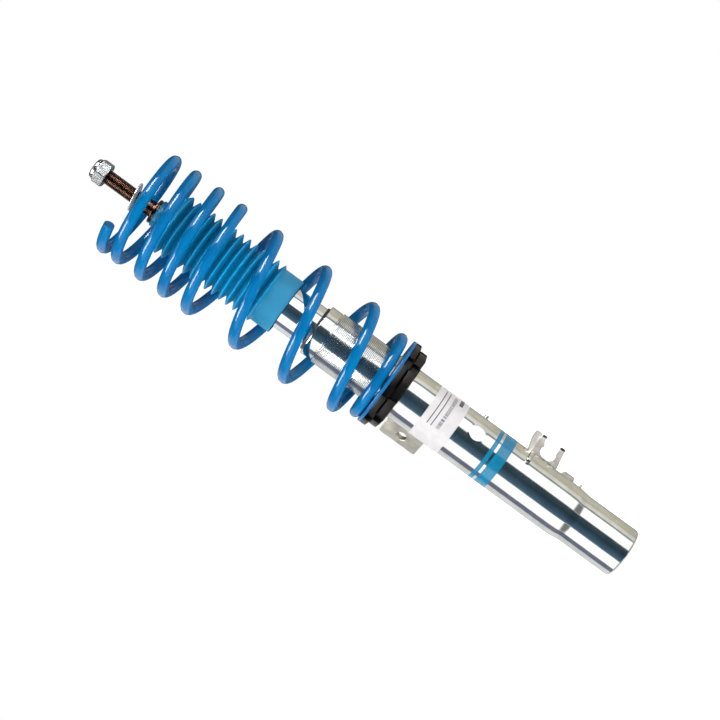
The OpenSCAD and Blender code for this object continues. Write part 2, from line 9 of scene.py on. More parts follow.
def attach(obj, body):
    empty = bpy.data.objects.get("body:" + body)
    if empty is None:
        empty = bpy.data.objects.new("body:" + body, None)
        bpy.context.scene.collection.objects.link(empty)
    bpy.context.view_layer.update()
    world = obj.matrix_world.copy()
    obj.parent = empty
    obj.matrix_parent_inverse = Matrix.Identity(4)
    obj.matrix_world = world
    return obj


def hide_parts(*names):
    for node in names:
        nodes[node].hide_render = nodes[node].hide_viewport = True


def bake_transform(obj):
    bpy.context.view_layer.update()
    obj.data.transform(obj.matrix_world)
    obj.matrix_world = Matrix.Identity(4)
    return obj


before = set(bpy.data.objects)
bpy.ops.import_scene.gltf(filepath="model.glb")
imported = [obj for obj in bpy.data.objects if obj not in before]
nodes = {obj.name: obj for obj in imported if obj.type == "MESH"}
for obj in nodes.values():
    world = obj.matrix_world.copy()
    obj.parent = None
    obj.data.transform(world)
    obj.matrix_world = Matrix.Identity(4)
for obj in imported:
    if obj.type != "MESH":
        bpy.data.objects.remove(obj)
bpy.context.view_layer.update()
print("frame loaded")

# Sizes are in mm, as on a maker's drawing, and turned to metres when a mesh is made.
# The strut's axis is Z, and heights are from the lower end of its tube.


def toLinear(hexValue):
    channels = [int(hexValue[i:i + 2], 16) / 255 for i in (1, 3, 5)]
    linear = [c / 12.92 if c <= 0.04045 else ((c + 0.055) / 1.055) ** 2.4 for c in channels]
    return (*linear, 1)


def addNode(tree, kind, settings=None, links=None):
    node = tree.nodes.new("ShaderNode" + kind)
    for key, value in (settings or {}).items():
        if key == "stops":  # (place, colour) pairs of a colour ramp
            ramp = node.color_ramp
            while len(ramp.elements) < len(value):
                ramp.elements.new(1)
            for stop, (place, colour) in zip(ramp.elements, value):
                stop.position = place
                stop.color = toLinear(colour) if isinstance(colour, str) else (*colour, 1)
        elif isinstance(key, str) and hasattr(node, key):
            setattr(node, key, value)
        else:
            node.inputs[key].default_value = value
    for key, socket in (links or {}).items():
        tree.links.new(socket, node.inputs[key])
    return node


def remap(tree, socket, *span):
    # from the first two values to the last two, which are 0 and 1 where they are left out
    return addNode(tree, "MapRange", dict(enumerate(span, 1)), {0: socket}).outputs[0]


def addObject(name, data):
    made = bpy.data.objects.new(name, data)
    bpy.context.scene.collection.objects.link(made)
    return made


def blankMaterial(name):
    material = bpy.data.materials.new(name)
    material.use_nodes = True
    material.node_tree.nodes.clear()
    return material, material.node_tree


def startMaterial(name, shaderSettings):
    material, tree = blankMaterial(name)
    shader = addNode(tree, "BsdfPrincipled", shaderSettings)
    addNode(tree, "OutputMaterial", links={"Surface": shader.outputs["BSDF"]})
    place = addNode(tree, "TexCoord").outputs["Object"]
    return material, tree, shader, place


def grain(tree, place, sizeMm, stretch=(1, 1, 1), detail=3):
    # noise whose grains are sizeMm wide, drawn out along an axis where stretch is above 1
    scale = [1000 / sizeMm / s for s in stretch]
    spread = addNode(tree, "VectorMath", {"operation": "MULTIPLY", 1: scale}, {0: place})
    return addNode(tree, "TexNoise", {"Scale": 1, "Detail": detail},
                   {"Vector": spread.outputs[0]}).outputs[0]


def metal(name, look):
    # two tones in a slow cloud, fine tool lines along one way, and smudges that dull the gloss
    material, tree, shader, place = startMaterial(name, {"Metallic": look.get("metallic", 1)})
    cloud = grain(tree, place, look["cloudMm"])
    lines = grain(tree, place, look["lineMm"], look["lineStretch"], 2)
    smudge = grain(tree, place, look["cloudMm"] * 2.6, detail=5)
    tone = addNode(tree, "ValToRGB", {"stops": [(0.38, look["colour"]), (0.64, look["shade"])]},
                   {0: cloud})
    toolLinesAndFoldLight = addNode(tree, "Mix", {"data_type": "RGBA", "blend_type": "MULTIPLY", 0: 0.35},
                   {6: tone.outputs[0]})
    tree.links.new(remap(tree, lines, 0.3, 0.7, 1 - look["lineTone"], 1), toolLinesAndFoldLight.inputs[7])
    tree.links.new(toolLinesAndFoldLight.outputs[2], shader.inputs["Base Color"])
    gloss = look["roughness"]
    dull = remap(tree, smudge, 0.35, 0.7, gloss * 0.8, gloss * 1.35)
    tree.links.new(dull, shader.inputs["Roughness"])
    relief = addNode(tree, "Bump", {"Strength": look["bump"], "Distance": look["lineMm"] / 1000 / 12},
                     {"Height": lines})
    tree.links.new(relief.outputs[0], shader.inputs["Normal"])
    return material


def plastic(name, look):
    # moulded or sprayed: an even body colour with a slow cloud, and fine pimples in the surface
    settings = {"IOR": look.get("ior", 1.5), "Specular IOR Level": look.get("specular", 0.5)}
    material, tree, shader, place = startMaterial(name, settings)
    cloud = grain(tree, place, look["cloudMm"])
    pimples = grain(tree, place, look["grainMm"], detail=2)
    tone = addNode(tree, "ValToRGB", {"stops": [(0.36, look["colour"]), (0.66, look["shade"])]},
                   {0: cloud})
    tree.links.new(tone.outputs[0], shader.inputs["Base Color"])
    gloss = look["roughness"]
    tree.links.new(remap(tree, cloud, 0.3, 0.7, gloss * 0.85, gloss * 1.2), shader.inputs["Roughness"])
    relief = addNode(tree, "Bump", {"Strength": look["bump"], "Distance": look["grainMm"] / 1000 / 8},
                     {"Height": pimples})
    tree.links.new(relief.outputs[0], shader.inputs["Normal"])
    return material


def newPiece(name, points, faces, material, sharpAngle=32):
    mesh = bpy.data.meshes.new(name)
    mesh.from_pydata((np.asarray(points, float) / 1000).tolist(), [], faces)
    return finishPiece(name, mesh, material, sharpAngle)


def finishPiece(name, mesh, material, sharpAngle=32):
    work = bmesh.new()
    work.from_mesh(mesh)
    bmesh.ops.remove_doubles(work, verts=work.verts, dist=1e-6)
    bmesh.ops.recalc_face_normals(work, faces=work.faces)
    work.to_mesh(mesh)
    work.free()
    mesh.materials.clear()
    mesh.materials.append(material)
    mesh.polygons.foreach_set("use_smooth", [True] * len(mesh.polygons))
    mesh.set_sharp_from_angle(angle=math.radians(sharpAngle))
    return addObject(name, mesh)


def standIn(piece, body, slot, *replaced):
    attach(piece, body)
    if replaced:
        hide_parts(*replaced)
    return piece


def loftFaces(rows, columns, closed=False):
    faces = []
    for i in range(rows if closed else rows - 1):
        a = i * columns
        b = (i + 1) % rows * columns
        for k in range(columns):
            n = (k + 1) % columns
            faces.append((a + k, a + n, b + n, b + k))
    return faces


def cappedFaces(rows, columns):
    # a lofted bar, its two ends closed
    last = (rows - 1) * columns
    ends = [tuple(range(columns - 1, -1, -1)), tuple(range(last, last + columns))]
    return loftFaces(rows, columns) + ends


def roundOff(corners, steps=4):
    # each corner is (radius, height) or (radius, height, rounding)
    points = []
    for i, corner in enumerate(corners):
        here = np.array(corner[:2], float)
        if len(corner) < 3:
            points.append(here)
            continue
        back = np.array(corners[i - 1][:2], float) - here
        ahead = np.array(corners[(i + 1) % len(corners)][:2], float) - here
        size = min(corner[2], np.linalg.norm(back) * 0.49, np.linalg.norm(ahead) * 0.49)
        start = here + back / np.linalg.norm(back) * size
        end = here + ahead / np.linalg.norm(ahead) * size
        for t in np.linspace(0, 1, steps + 1):
            points.append((1 - t) ** 2 * start + 2 * t * (1 - t) * here + t * t * end)
    return points


def evenTurn(columns):
    return np.radians(np.arange(columns) * 360 / columns)


def ringOf(radius, height, turn):
    # radius and height are single values or one for each angle
    return np.column_stack([radius * np.cos(turn), radius * np.sin(turn), height + 0 * turn])


def lathe(name, corners, material, columns=128, sharpAngle=32):
    profile = roundOff(corners)
    turn = evenTurn(columns)
    points = np.vstack([ringOf(r, z, turn) for r, z in profile])
    return newPiece(name, points, loftFaces(len(profile), columns, True), material, sharpAngle)


def threadRings(thread, turn):
    # rings up a right-hand thread; fade is how far the groove takes to run in and out
    low, high, pitch = thread["low"], thread["high"], thread["pitch"]
    rows = round((high - low) / pitch * thread["rowsPerPitch"])
    rings = []
    for z in np.linspace(low, high, rows + 1):
        phase = (z / pitch - turn / (2 * np.pi)) % 1
        flank = np.clip((np.abs(2 * phase - 1) - thread["root"]) / thread["flank"], 0, 1)
        run = min(1, (z - low) / thread["fade"], max(0.0, (high - z) / thread["fade"]))
        radius = thread["crest"] - thread["depth"] * (1 - flank) * run
        rings.append(ringOf(radius, z, turn))
    return rings


def plateFrom(outlines, thickness, bevel, steps=3):
    # a flat plate with bevelled edges, its outline in X and Y and its middle at Z = 0;
    # later outlines are holes
    curve = bpy.data.curves.new("plateOutline", "CURVE")
    curve.dimensions = "2D"
    curve.fill_mode = "BOTH"
    curve.extrude = thickness / 2 - bevel
    curve.bevel_depth = bevel
    curve.bevel_resolution = steps
    curve.offset = -bevel
    for outline in outlines:
        spline = curve.splines.new("POLY")
        spline.points.add(len(outline) - 1)
        for point, (x, y) in zip(spline.points, outline):
            point.co = (x, y, 0, 1)
        spline.use_cyclic_u = True
    holder = addObject("plateOutline", curve)
    graph = bpy.context.evaluated_depsgraph_get()
    mesh = bpy.data.meshes.new_from_object(holder.evaluated_get(graph))
    bpy.data.objects.remove(holder)
    bpy.data.curves.remove(curve)
    return mesh


def circleOutline(x, y, radius, count=64):
    return [(x + radius * math.cos(t), y + radius * math.sin(t)) for t in evenTurn(count)]


def weldBead(name, path, radius):
    # a half-round bead laid along path, with the ripples that each pulse of the torch leaves
    path = np.asarray(path, float)
    run = np.concatenate([[0], np.cumsum(np.linalg.norm(np.diff(path, axis=0), axis=1))])
    spacing, sides = 0.28, 14
    count = max(12, int(run[-1] / spacing))
    along = np.linspace(0, run[-1], count)
    centre = np.column_stack([np.interp(along, run, path[:, k]) for k in range(3)])
    heading = np.gradient(centre, axis=0)
    heading /= np.linalg.norm(heading, axis=1)[:, None]
    rings = []
    for i in range(count):
        ripple = 1 + 0.11 * abs(math.sin(math.pi * along[i] / 1.5))
        wander = 1 + 0.06 * math.sin(along[i] * 0.9) + 0.04 * math.sin(along[i] * 2.3 + 1)
        ends = math.sqrt(max(0.02, min(1, along[i] / radius, (run[-1] - along[i]) / radius)))
        out = np.array([centre[i][0], centre[i][1], 0]) / np.linalg.norm(centre[i][:2])
        side = np.cross(heading[i], out)
        side /= np.linalg.norm(side)
        up = np.cross(side, heading[i])
        size = radius * ripple * wander * ends
        rings.append([centre[i] + size * (math.cos(a) * side + 0.62 * math.sin(a) * up)
                      for a in np.linspace(0, 2 * math.pi, sides, endpoint=False)])
    bead = newPiece(name, np.vstack(rings), cappedFaces(count, sides), zincWeld, 70)
    return standIn(bead, "housing", "zinc_steel")


# cold-drawn steel, bright zinc plated: a mirror with draw lines along the tube and a faint cloud
tubeZinc = {"colour": "#E2E3DF", "shade": "#D2D4CF", "roughness": 0.09, "cloudMm": 14, "lineMm": 0.7,
            "lineStretch": (1, 1, 90), "lineTone": 0.14, "bump": 0.06}
zincTube = metal("zincPlatedDrawnSteel", tubeZinc)

# the same plating on the rolled thread: its flanks are duller than the drawn tube
threadZinc = dict(tubeZinc, colour="#D8DAD8", shade="#C6C8C7", roughness=0.15, lineStretch=(30, 30, 1))
zincThread = metal("zincPlatedRolledThread", threadZinc)

# pressed mild steel sheet, zinc plated and passivated: satin, warm grey, a little blotchy
sheetZinc = {"colour": "#D4D0C1", "shade": "#BDB8A9", "roughness": 0.42, "cloudMm": 9, "lineMm": 0.8,
             "lineStretch": (3, 1, 3), "lineTone": 0.2, "bump": 0.16}
zincSheet = metal("zincPlatedPressedSheet", sheetZinc)

# the same sheet, barrel plated to a milky white: paler and duller than the link plate
milkyZinc = {"colour": "#C6C1BB", "shade": "#A9A39E", "metallic": 0.45, "roughness": 0.4, "cloudMm": 7,
             "lineMm": 0.8, "lineStretch": (3, 1, 3), "lineTone": 0.2, "bump": 0.16}
zincMilky = metal("barrelPlatedSheet", milkyZinc)

# the prongs' bent ends, coloured near black: a painted dark reflection of the bent tips
darkTipLook = {"colour": "#2E2624", "shade": "#1F1B1B", "metallic": 0.6, "roughness": 0.4, "cloudMm": 3,
               "lineMm": 0.6, "lineStretch": (1, 1, 4), "lineTone": 0.3, "bump": 0.3}
darkTipReflection = metal("paintedTipReflection", darkTipLook)

# the small lug, a darker grey than the sheet: painted shade that sets it off from the white round it
lugShadeLook = dict(milkyZinc, colour="#A8A39C", shade="#8B8680")
zincPaintedShade = metal("zincSheetPaintedShade", lugShadeLook)

# arc weld under the same zinc: ripples break the reflection up, so it is duller than the tube
beadZinc = {"colour": "#A5A5A0", "shade": "#77776F", "roughness": 0.36, "cloudMm": 2.2, "lineMm": 0.6,
            "lineStretch": (1, 1, 1), "lineTone": 0.3, "bump": 0.4}
zincWeld = metal("zincPlatedWeld", beadZinc)

# cold-forged hardware, bright zinc: hard highlights, slightly mottled
hardwareZinc = {"colour": "#A2A4A4", "shade": "#85888A", "metallic": 0.85, "roughness": 0.18, "cloudMm": 3,
                "lineMm": 0.7, "lineStretch": (1, 1, 3), "lineTone": 0.2, "bump": 0.04}
zincHardware = metal("zincPlatedForgedSteel", hardwareZinc)

# pressed washer, bright zinc: pale and silky
washerZinc = {"colour": "#DADAD6", "shade": "#BDBDB9", "metallic": 0.5, "roughness": 0.34, "cloudMm": 5,
              "lineMm": 0.7, "lineStretch": (1, 1, 1), "lineTone": 0.2, "bump": 0.05}
zincWasher = metal("zincPlatedWasher", washerZinc)

# hard chrome, ground and polished: the deepest mirror on the strut, with grinding rings round it
chromeLook = {"colour": "#E9ECEE", "shade": "#DEE2E5", "roughness": 0.045, "cloudMm": 20, "lineMm": 0.6,
              "lineStretch": (40, 40, 1), "lineTone": 0.06, "bump": 0.03}
hardChrome = metal("hardChromeGround", chromeLook)

# ground but unplated steel: grey, with grinding rings
groundLook = {"colour": "#B9BBBD", "shade": "#9FA2A6", "roughness": 0.24, "cloudMm": 8, "lineMm": 0.7,
              "lineStretch": (40, 40, 1), "lineTone": 0.2, "bump": 0.15}
groundSteel = metal("groundSteel", groundLook)

# heat-treated and oiled steel, turned: dark brown-grey with a coppery glint
oiledLook = {"colour": "#5E463A", "shade": "#3F3027", "roughness": 0.24, "cloudMm": 6, "lineMm": 0.6,
             "lineStretch": (30, 30, 1), "lineTone": 0.2, "bump": 0.08}
oiledSteel = metal("oiledBlackSteel", oiledLook)

# sintered iron: matt and finely porous
sinterLook = {"colour": "#77777A", "shade": "#5F6063", "roughness": 0.5, "cloudMm": 3, "lineMm": 0.7,
              "lineStretch": (1, 1, 1), "lineTone": 0.4, "bump": 0.5}
sinteredIron = metal("sinteredIron", sinterLook)

# tin bronze bush, turned: brown-gold with fine tool rings
bronzeLook = {"colour": "#B98A4E", "shade": "#94693A", "roughness": 0.3, "cloudMm": 5, "lineMm": 0.7,
              "lineStretch": (30, 30, 1), "lineTone": 0.3, "bump": 0.2}
tinBronze = metal("tinBronzeTurned", bronzeLook)

# aluminium, turned and left bare: pale and silky
aluminiumLook = {"colour": "#D4D6D8", "shade": "#C2C5C8", "roughness": 0.28, "cloudMm": 8, "lineMm": 0.7,
                 "lineStretch": (30, 30, 1), "lineTone": 0.2, "bump": 0.2}
bareAluminium = metal("aluminiumTurned", aluminiumLook)

# nitrile rubber, moulded: near black, soft sheen
rubberLook = {"colour": "#1D1D1E", "shade": "#272727", "roughness": 0.46, "cloudMm": 6, "grainMm": 0.6,
              "bump": 0.3, "ior": 1.52}
nitrileRubber = plastic("nitrileRubberMoulded", rubberLook)

# microcellular polyurethane: closed skin with a fine pebble
bumpLook = {"colour": "#2B2B27", "shade": "#36352F", "roughness": 0.6, "cloudMm": 7, "grainMm": 0.9,
            "bump": 0.5, "ior": 1.5}
foamUrethane = plastic("foamedPolyurethane", bumpLook)

# filled PTFE or acetal wear band: dark, waxy
bandLook = {"colour": "#2D2B2A", "shade": "#393533", "roughness": 0.38, "cloudMm": 5, "grainMm": 0.8,
            "bump": 0.2, "ior": 1.4}
wearBand = plastic("filledPtfeBand", bandLook)

# natural nylon, moulded: milky white, slightly waxy
nylonLook = {"colour": "#E9E5D8", "shade": "#DDD8C8", "roughness": 0.33, "cloudMm": 5, "grainMm": 0.7,
             "bump": 0.15, "ior": 1.53}
naturalNylon = plastic("naturalNylonMoulded", nylonLook)
print("shared finishes made")


strutTube = {
    "bore": 22, "lowerRadius": 24.45, "radius": 25.95, "chamfer": 1.2, "lowerLength": 53.5, "dieWidth": 11,
    "taperTop": 74,
    "thread": {"low": 248.6, "high": 332.6, "pitch": 1.5, "crest": 26.55, "depth": 0.5, "rowsPerPitch": 10,
               "root": 0.08, "flank": 0.42, "fade": 1.6},
    "mouthRadius": 25.45, "reliefRadius": 24.95, "top": 345.4, "upperBore": 23.45,
    "dimple": {"angle": -66.5, "height": 173.5, "radius": 7.6, "depth": 0.22, "rim": 0.12},
}


def smoothStep(t):
    t = min(max(t, 0), 1)
    return t * t * (3 - 2 * t)


def makeTube(tube):
    dimple = tube["dimple"]
    centre = dimple["angle"] % 360
    fine, coarse, spread = 1.0, 3.5, 23  # degrees: finer columns where the dimple is
    near = np.arange(centre - spread, centre + spread + 0.1, fine)
    rest = np.arange(centre + spread + coarse, centre + 360 - spread, coarse)
    turn = np.radians(np.concatenate([near, rest]))
    away = (turn - math.radians(centre) + np.pi) % (2 * np.pi) - np.pi
    low, high = tube["lowerRadius"], tube["radius"]
    rings = [ringOf(r, z, turn) for r, z in roundOff([
        (tube["bore"], 0), (low - tube["chamfer"], 0, 0.4), (low, tube["chamfer"], 0.4), (low, 20)])]
    # the swaged step: a quick rise where the die stopped, then a slow one
    for z in np.linspace(tube["lowerLength"], tube["taperTop"], 42):
        quick = smoothStep((z - tube["lowerLength"]) / tube["dieWidth"])
        slow = smoothStep((z - tube["lowerLength"] - 2) / (tube["taperTop"] - tube["lowerLength"] - 2))
        rings.append(ringOf(low + (high - low) * (0.6 * quick + 0.4 * slow), z, turn))
    reach = dimple["radius"] + 2
    zLow, zHigh = dimple["height"] - reach, dimple["height"] + reach
    heights = list(np.arange(82, zLow - 4, 8)) + list(np.arange(zLow, zHigh + 0.1, 0.5))
    heights += list(np.arange(zHigh + 6, 240, 8))
    for z in heights:
        far = np.hypot(away * high, z - dimple["height"]) / dimple["radius"]
        bowl = np.where(far < 1, (1 + np.cos(np.pi * np.clip(far, 0, 1))) / 2, 0)
        lip = np.exp(-((far - 1) / 0.13) ** 2)
        rings.append(ringOf(high - dimple["depth"] * bowl ** 0.7 + dimple["rim"] * lip, z, turn))
    thread = tube["thread"]
    crest = thread["crest"]
    rings.append(ringOf(high, thread["low"] - 0.9, turn))
    rings.append(ringOf(high + 0.08, thread["low"] - 0.7, turn))
    rings.append(ringOf(crest - 0.08, thread["low"] - 0.15, turn))
    rings += threadRings(thread, turn)
    top, mouth, relief, bore = tube["top"], tube["mouthRadius"], tube["reliefRadius"], tube["upperBore"]
    upper = [(crest - 0.1, thread["high"] + 0.15), (relief, thread["high"] + 0.3, 0.12),
             (relief, thread["high"] + 1.1, 0.12), (mouth, thread["high"] + 1.4, 0.15), (mouth, top, 0.8),
             (bore, top, 0.2), (bore, tube["taperTop"] + 6), (tube["bore"], tube["taperTop"])]
    rings += [ringOf(r, z, turn) for r, z in roundOff(upper)]
    points = np.vstack(rings)
    piece = newPiece("strutTube", points, loftFaces(len(rings), len(turn), True), zincTube, 38)
    piece.data.materials.append(zincThread)
    for face in piece.data.polygons:
        height = face.center.z * 1000
        outside = face.center.xy.length * 1000 > tube["radius"] - 0.6
        face.material_index = 1 if thread["low"] < height < thread["high"] and outside else 0
    return standIn(piece, "housing", "zinc_steel", "strut_tube")


makeTube(strutTube)

# nitrile lip seal pressed into the tube's mouth
wiperSeal = {"inner": 21.06, "seat": 23.4, "lip": 22.35, "low": 343, "tubeTop": 345.4, "top": 347.9}
wiper = lathe("wiperSeal", [
    (wiperSeal["inner"], wiperSeal["low"]), (wiperSeal["seat"], wiperSeal["low"]),
    (wiperSeal["seat"], wiperSeal["tubeTop"] + 0.25, 0.2),
    (wiperSeal["lip"], wiperSeal["tubeTop"] + 0.35, 0.2),
    (wiperSeal["lip"] - 0.15, wiperSeal["top"], 0.7), (wiperSeal["inner"], wiperSeal["top"] - 0.2, 0.15)],
    nitrileRubber)
standIn(wiper, "housing", "black_rubber", "wiper_seal")
print("strut tube made")


damperTube = {"bore": 19, "radius": 21, "low": 148, "high": 508}
chromed = lathe("damperTube", [
    (damperTube["bore"], damperTube["low"]), (damperTube["radius"], damperTube["low"], 0.7),
    (damperTube["radius"], damperTube["high"], 0.9), (damperTube["bore"], damperTube["high"])],
    hardChrome, 160)
standIn(chromed, "damper", "hard_chrome", "damper_tube")

topStud = {
    "spigot": 9, "spigotLow": 496, "shoulder": 12.2, "shoulderLow": 508, "shoulderHigh": 528,
    "shank": 7.6, "shankHigh": 545, "top": 594,
    "thread": {"low": 546, "high": 592.7, "pitch": 1.5, "crest": 6.98, "depth": 0.8, "rowsPerPitch": 12,
               "root": 0.1, "flank": 0.65, "fade": 1.2},
}


def makeStud(stud):
    turn = evenTurn(96)
    shoulder, shank = stud["shoulder"], stud["shank"]
    lower = [(0, stud["spigotLow"]), (stud["spigot"], stud["spigotLow"], 0.8),
             (stud["spigot"], stud["shoulderLow"], 0.2), (shoulder, stud["shoulderLow"], 0.3),
             # a shallow turned groove under the shoulder's end
             (shoulder, stud["shoulderHigh"] - 3.2, 0.15), (shoulder - 0.6, stud["shoulderHigh"] - 3.0, 0.15),
             (shoulder - 0.6, stud["shoulderHigh"] - 2.2, 0.15), (shoulder, stud["shoulderHigh"] - 2.0, 0.15),
             (shoulder, stud["shoulderHigh"] - 0.1, 0.8), (shank + 0.8, stud["shoulderHigh"], 0.4),
             (shank, stud["shoulderHigh"] + 0.8, 0.4), (shank, stud["shankHigh"], 0.5),
             (stud["thread"]["crest"] - 0.5, stud["shankHigh"] + 0.4, 0.2),
             (stud["thread"]["crest"] - 0.1, stud["thread"]["low"] - 0.2)]
    rings = [ringOf(r, z, turn) for r, z in roundOff(lower)]
    rings += threadRings(stud["thread"], turn)
    crest = stud["thread"]["crest"]
    upper = [(crest - 0.5, stud["top"] - 0.5), (crest - 1.3, stud["top"]), (0.01, stud["top"])]
    rings += [ringOf(r, z, turn) for r, z in upper]
    piece = newPiece("topStud", np.vstack(rings), loftFaces(len(rings), len(turn)), oiledSteel, 40)
    return standIn(piece, "damper", "dark_steel", "top_stud")


makeStud(topStud)

topWasher = {"hole": 7.55, "rim": 14, "thickness": 1.5, "dish": 1.2, "height": 547.6, "tilt": 9}
half = topWasher["thickness"] / 2
washer = lathe("topWasher", [
    (topWasher["hole"], -half, 0.2), (topWasher["hole"] + 1.5, -half, 0.6),
    (topWasher["rim"], topWasher["dish"] - half, 0.5), (topWasher["rim"], topWasher["dish"] + half, 0.5),
    (topWasher["hole"] + 1.5, half, 0.6), (topWasher["hole"], half, 0.2)], zincWasher, 96)
washer.data.transform(Matrix.Translation((0, 0, topWasher["height"] / 1000))
                      @ Matrix.Rotation(math.radians(-topWasher["tilt"]), 4, "Y"))
standIn(washer, "damper", "bright_zinc", "top_washer")

lockNut = {"flats": 22, "turn": 20, "low": 579.8, "hexHeight": 11, "top": 594.8, "bore": 6.85,
           "collar": 9.8, "insert": 8.9, "insertLow": 591.4, "rimHole": 7.7, "chamferSlope": 0.52}


def makeNut(nut):
    turn = evenTurn(144)
    sector = (np.degrees(turn) - nut["turn"] + 30) % 60 - 30
    # a corner stands at every 60 degrees from turn, and a flat half way between
    flat = nut["flats"] / 2 / np.cos(np.radians(30 - np.abs(sector)))
    flat = flat - 0.35 * np.exp(-(sector / 1.6) ** 2)
    low, high = nut["low"], nut["low"] + nut["hexHeight"]
    rings = [ringOf(nut["bore"], low + 0.8, turn), ringOf(nut["bore"] + 0.9, low, turn)]
    edge = nut["flats"] / 2 - 0.5
    rings.append(ringOf(edge - 0.6, low, turn))
    for z in np.concatenate([np.linspace(low + 0.1, low + 1.6, 8), np.linspace(high - 2.1, high - 0.1, 9)]):
        cone = edge + min(z - low, high - z) / nut["chamferSlope"]
        rings.append(ringOf(np.minimum(flat, cone), z, turn))
    collar, top = nut["collar"], nut["top"]
    upper = [(collar + 0.9, high, 0.2), (collar, high + 0.7, 0.5), (collar, top - 1.6, 1.2),
             (collar - 1.4, top, 0.8), (nut["rimHole"], top, 0.3), (nut["rimHole"], top - 0.8),
             (nut["insert"], top - 0.8), (nut["insert"], nut["insertLow"]), (nut["bore"], nut["insertLow"])]
    rings += [ringOf(r, z, turn) for r, z in roundOff(upper)]
    piece = newPiece("topNut", np.vstack(rings), loftFaces(len(rings), len(turn), True), zincHardware, 26)
    return standIn(piece, "top_nut", "bright_zinc", "top_nut")


makeNut(lockNut)
print("damper and stud made")


# blow-moulded thermoplastic elastomer: satin, with painted shade in the valleys of the folds and a painted
# highlight on the crests
dustBoot = {"cuff": 27.85, "cuffLow": 379.2, "cuffHigh": 400.8, "wall": 1.2, "peak": 30.85, "valley": 23.85,
            "folds": 14, "firstFold": 401.4, "lastFold": 505.4, "neck": 13.25, "neckBore": 12.5,
            "neckLow": 520.5, "neckHigh": 524, "rounding": 0.2,
            "colour": "#0385B6", "shade": "#0379A8", "cuffColour": "#1C83AC", "roughness": 0.42}


def bootRubber(boot):
    material, tree, shader, place = startMaterial("blowMouldedElastomer",
                                                  {"IOR": 1.49, "Specular IOR Level": 0.3})
    cloud = grain(tree, place, 11)
    # sand-blasted mould, drawn coarser than its 0.2 mm so that it shows
    skin = grain(tree, place, 0.8, detail=2)
    body = addNode(tree, "ValToRGB", {"stops": [(0.35, boot["colour"]), (0.68, boot["shade"])]}, {0: cloud})
    parts = addNode(tree, "SeparateXYZ", links={0: place})
    flat = addNode(tree, "CombineXYZ", links={0: parts.outputs[0], 1: parts.outputs[1]})
    radius = addNode(tree, "VectorMath", {"operation": "LENGTH"}, {0: flat.outputs[0]})
    # the stretched cuff is paler than the folds
    onCuff = remap(tree, parts.outputs[2], (boot["cuffHigh"] + 0.6) / 1000, (boot["cuffHigh"] - 0.6) / 1000)
    twoTone = addNode(tree, "Mix", {"data_type": "RGBA", 7: toLinear(boot["cuffColour"])},
                      {0: onCuff, 6: body.outputs[0]})
    # painted shade darkens the valleys of the folds, and a painted highlight makes the crests pale
    crest = addNode(tree, "MapRange", {1: (boot["valley"] - 0.3) / 1000, 2: (boot["peak"] + 0.1) / 1000,
                                       3: 0.68, 4: 1.0}, {0: radius.outputs[1]})
    crestHighlight = addNode(tree, "MapRange", {1: (boot["peak"] - 1.1) / 1000, 2: (boot["peak"] - 0.2) / 1000,
                                        3: 1, 4: 1.5}, {0: radius.outputs[1]})
    toolLinesAndFoldLight = addNode(tree, "Math", {"operation": "MULTIPLY"}, {0: crest.outputs[0], 1: crestHighlight.outputs[0]})
    tint = addNode(tree, "VectorMath", {"operation": "SCALE"},
                   {0: twoTone.outputs[2], "Scale": toolLinesAndFoldLight.outputs[0]})
    tree.links.new(tint.outputs[0], shader.inputs["Base Color"])
    dull = remap(tree, cloud, 0.3, 0.7, boot["roughness"] * 0.85, boot["roughness"] * 1.2)
    tree.links.new(dull, shader.inputs["Roughness"])
    relief = addNode(tree, "Bump", {"Strength": 0.25, "Distance": 0.00012}, {"Height": skin})
    tree.links.new(relief.outputs[0], shader.inputs["Normal"])
    return material


def bootOutline(boot, inset):
    # the boot's outside, or its inside where inset is the wall, from the cuff up
    cuff = boot["cuff"] - inset
    pitch = (boot["lastFold"] - boot["firstFold"]) / (boot["folds"] - 1)
    lip = 0.5 if inset == 0 else 0.1
    low = [(cuff - lip, boot["cuffLow"]), (cuff, boot["cuffLow"] + lip), (cuff, boot["cuffLow"] + 3),
           (cuff, boot["cuffHigh"] - 5), (cuff, boot["cuffHigh"] - 2.4)]
    depth = boot["peak"] - boot["valley"]
    wave = []
    for i in range(boot["folds"] * 16 - 15):
        t = abs((i / 16 + 0.5) % 1 - 0.5) * 2  # 0 on a crest, 1 in a valley
        a = boot["rounding"]
        if t < a:
            s = t * t / (2 * a)
        elif t > 1 - a:
            s = 1 - a - (1 - t) ** 2 / (2 * a)
        else:
            s = t - a / 2
        wave.append((boot["peak"] - inset - depth * (s / (1 - a)), boot["firstFold"] + pitch * i / 16))
    start = wave[0]
    low.append((cuff - 0.25, boot["cuffHigh"] - 1.5))
    low.append(((cuff + start[0]) / 2 + 0.15, start[1] - 0.7))
    neck = boot["neck"] if inset == 0 else boot["neckBore"]
    drop = 0 if inset == 0 else inset
    high = [(boot["peak"] - inset - 0.5, boot["lastFold"] + 1.1),
            (boot["peak"] - inset - 3.4, boot["lastFold"] + 4),
            ((neck + boot["peak"] - inset) / 2, boot["neckLow"] - 6.2 - drop * 0.6),
            (neck + 2.2, boot["neckLow"] - 1.5 - drop * 0.6),
            (neck + 0.4, boot["neckLow"] - 0.3 - drop * 0.6),
            (neck, boot["neckLow"] + 0.5), (neck, boot["neckHigh"])]
    return low + wave + high


def makeBoot(boot):
    outside = bootOutline(boot, 0)
    inside = bootOutline(boot, boot["wall"])
    turn = evenTurn(144)
    profile = outside + inside[::-1]
    points = np.vstack([ringOf(r, z, turn) for r, z in profile])
    piece = newPiece("dustBoot", points, loftFaces(len(profile), 144, True), bootRubber(boot), 50)
    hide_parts("dust_boot")
    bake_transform(piece)
    return piece


makeBoot(dustBoot)
print("dust boot made")


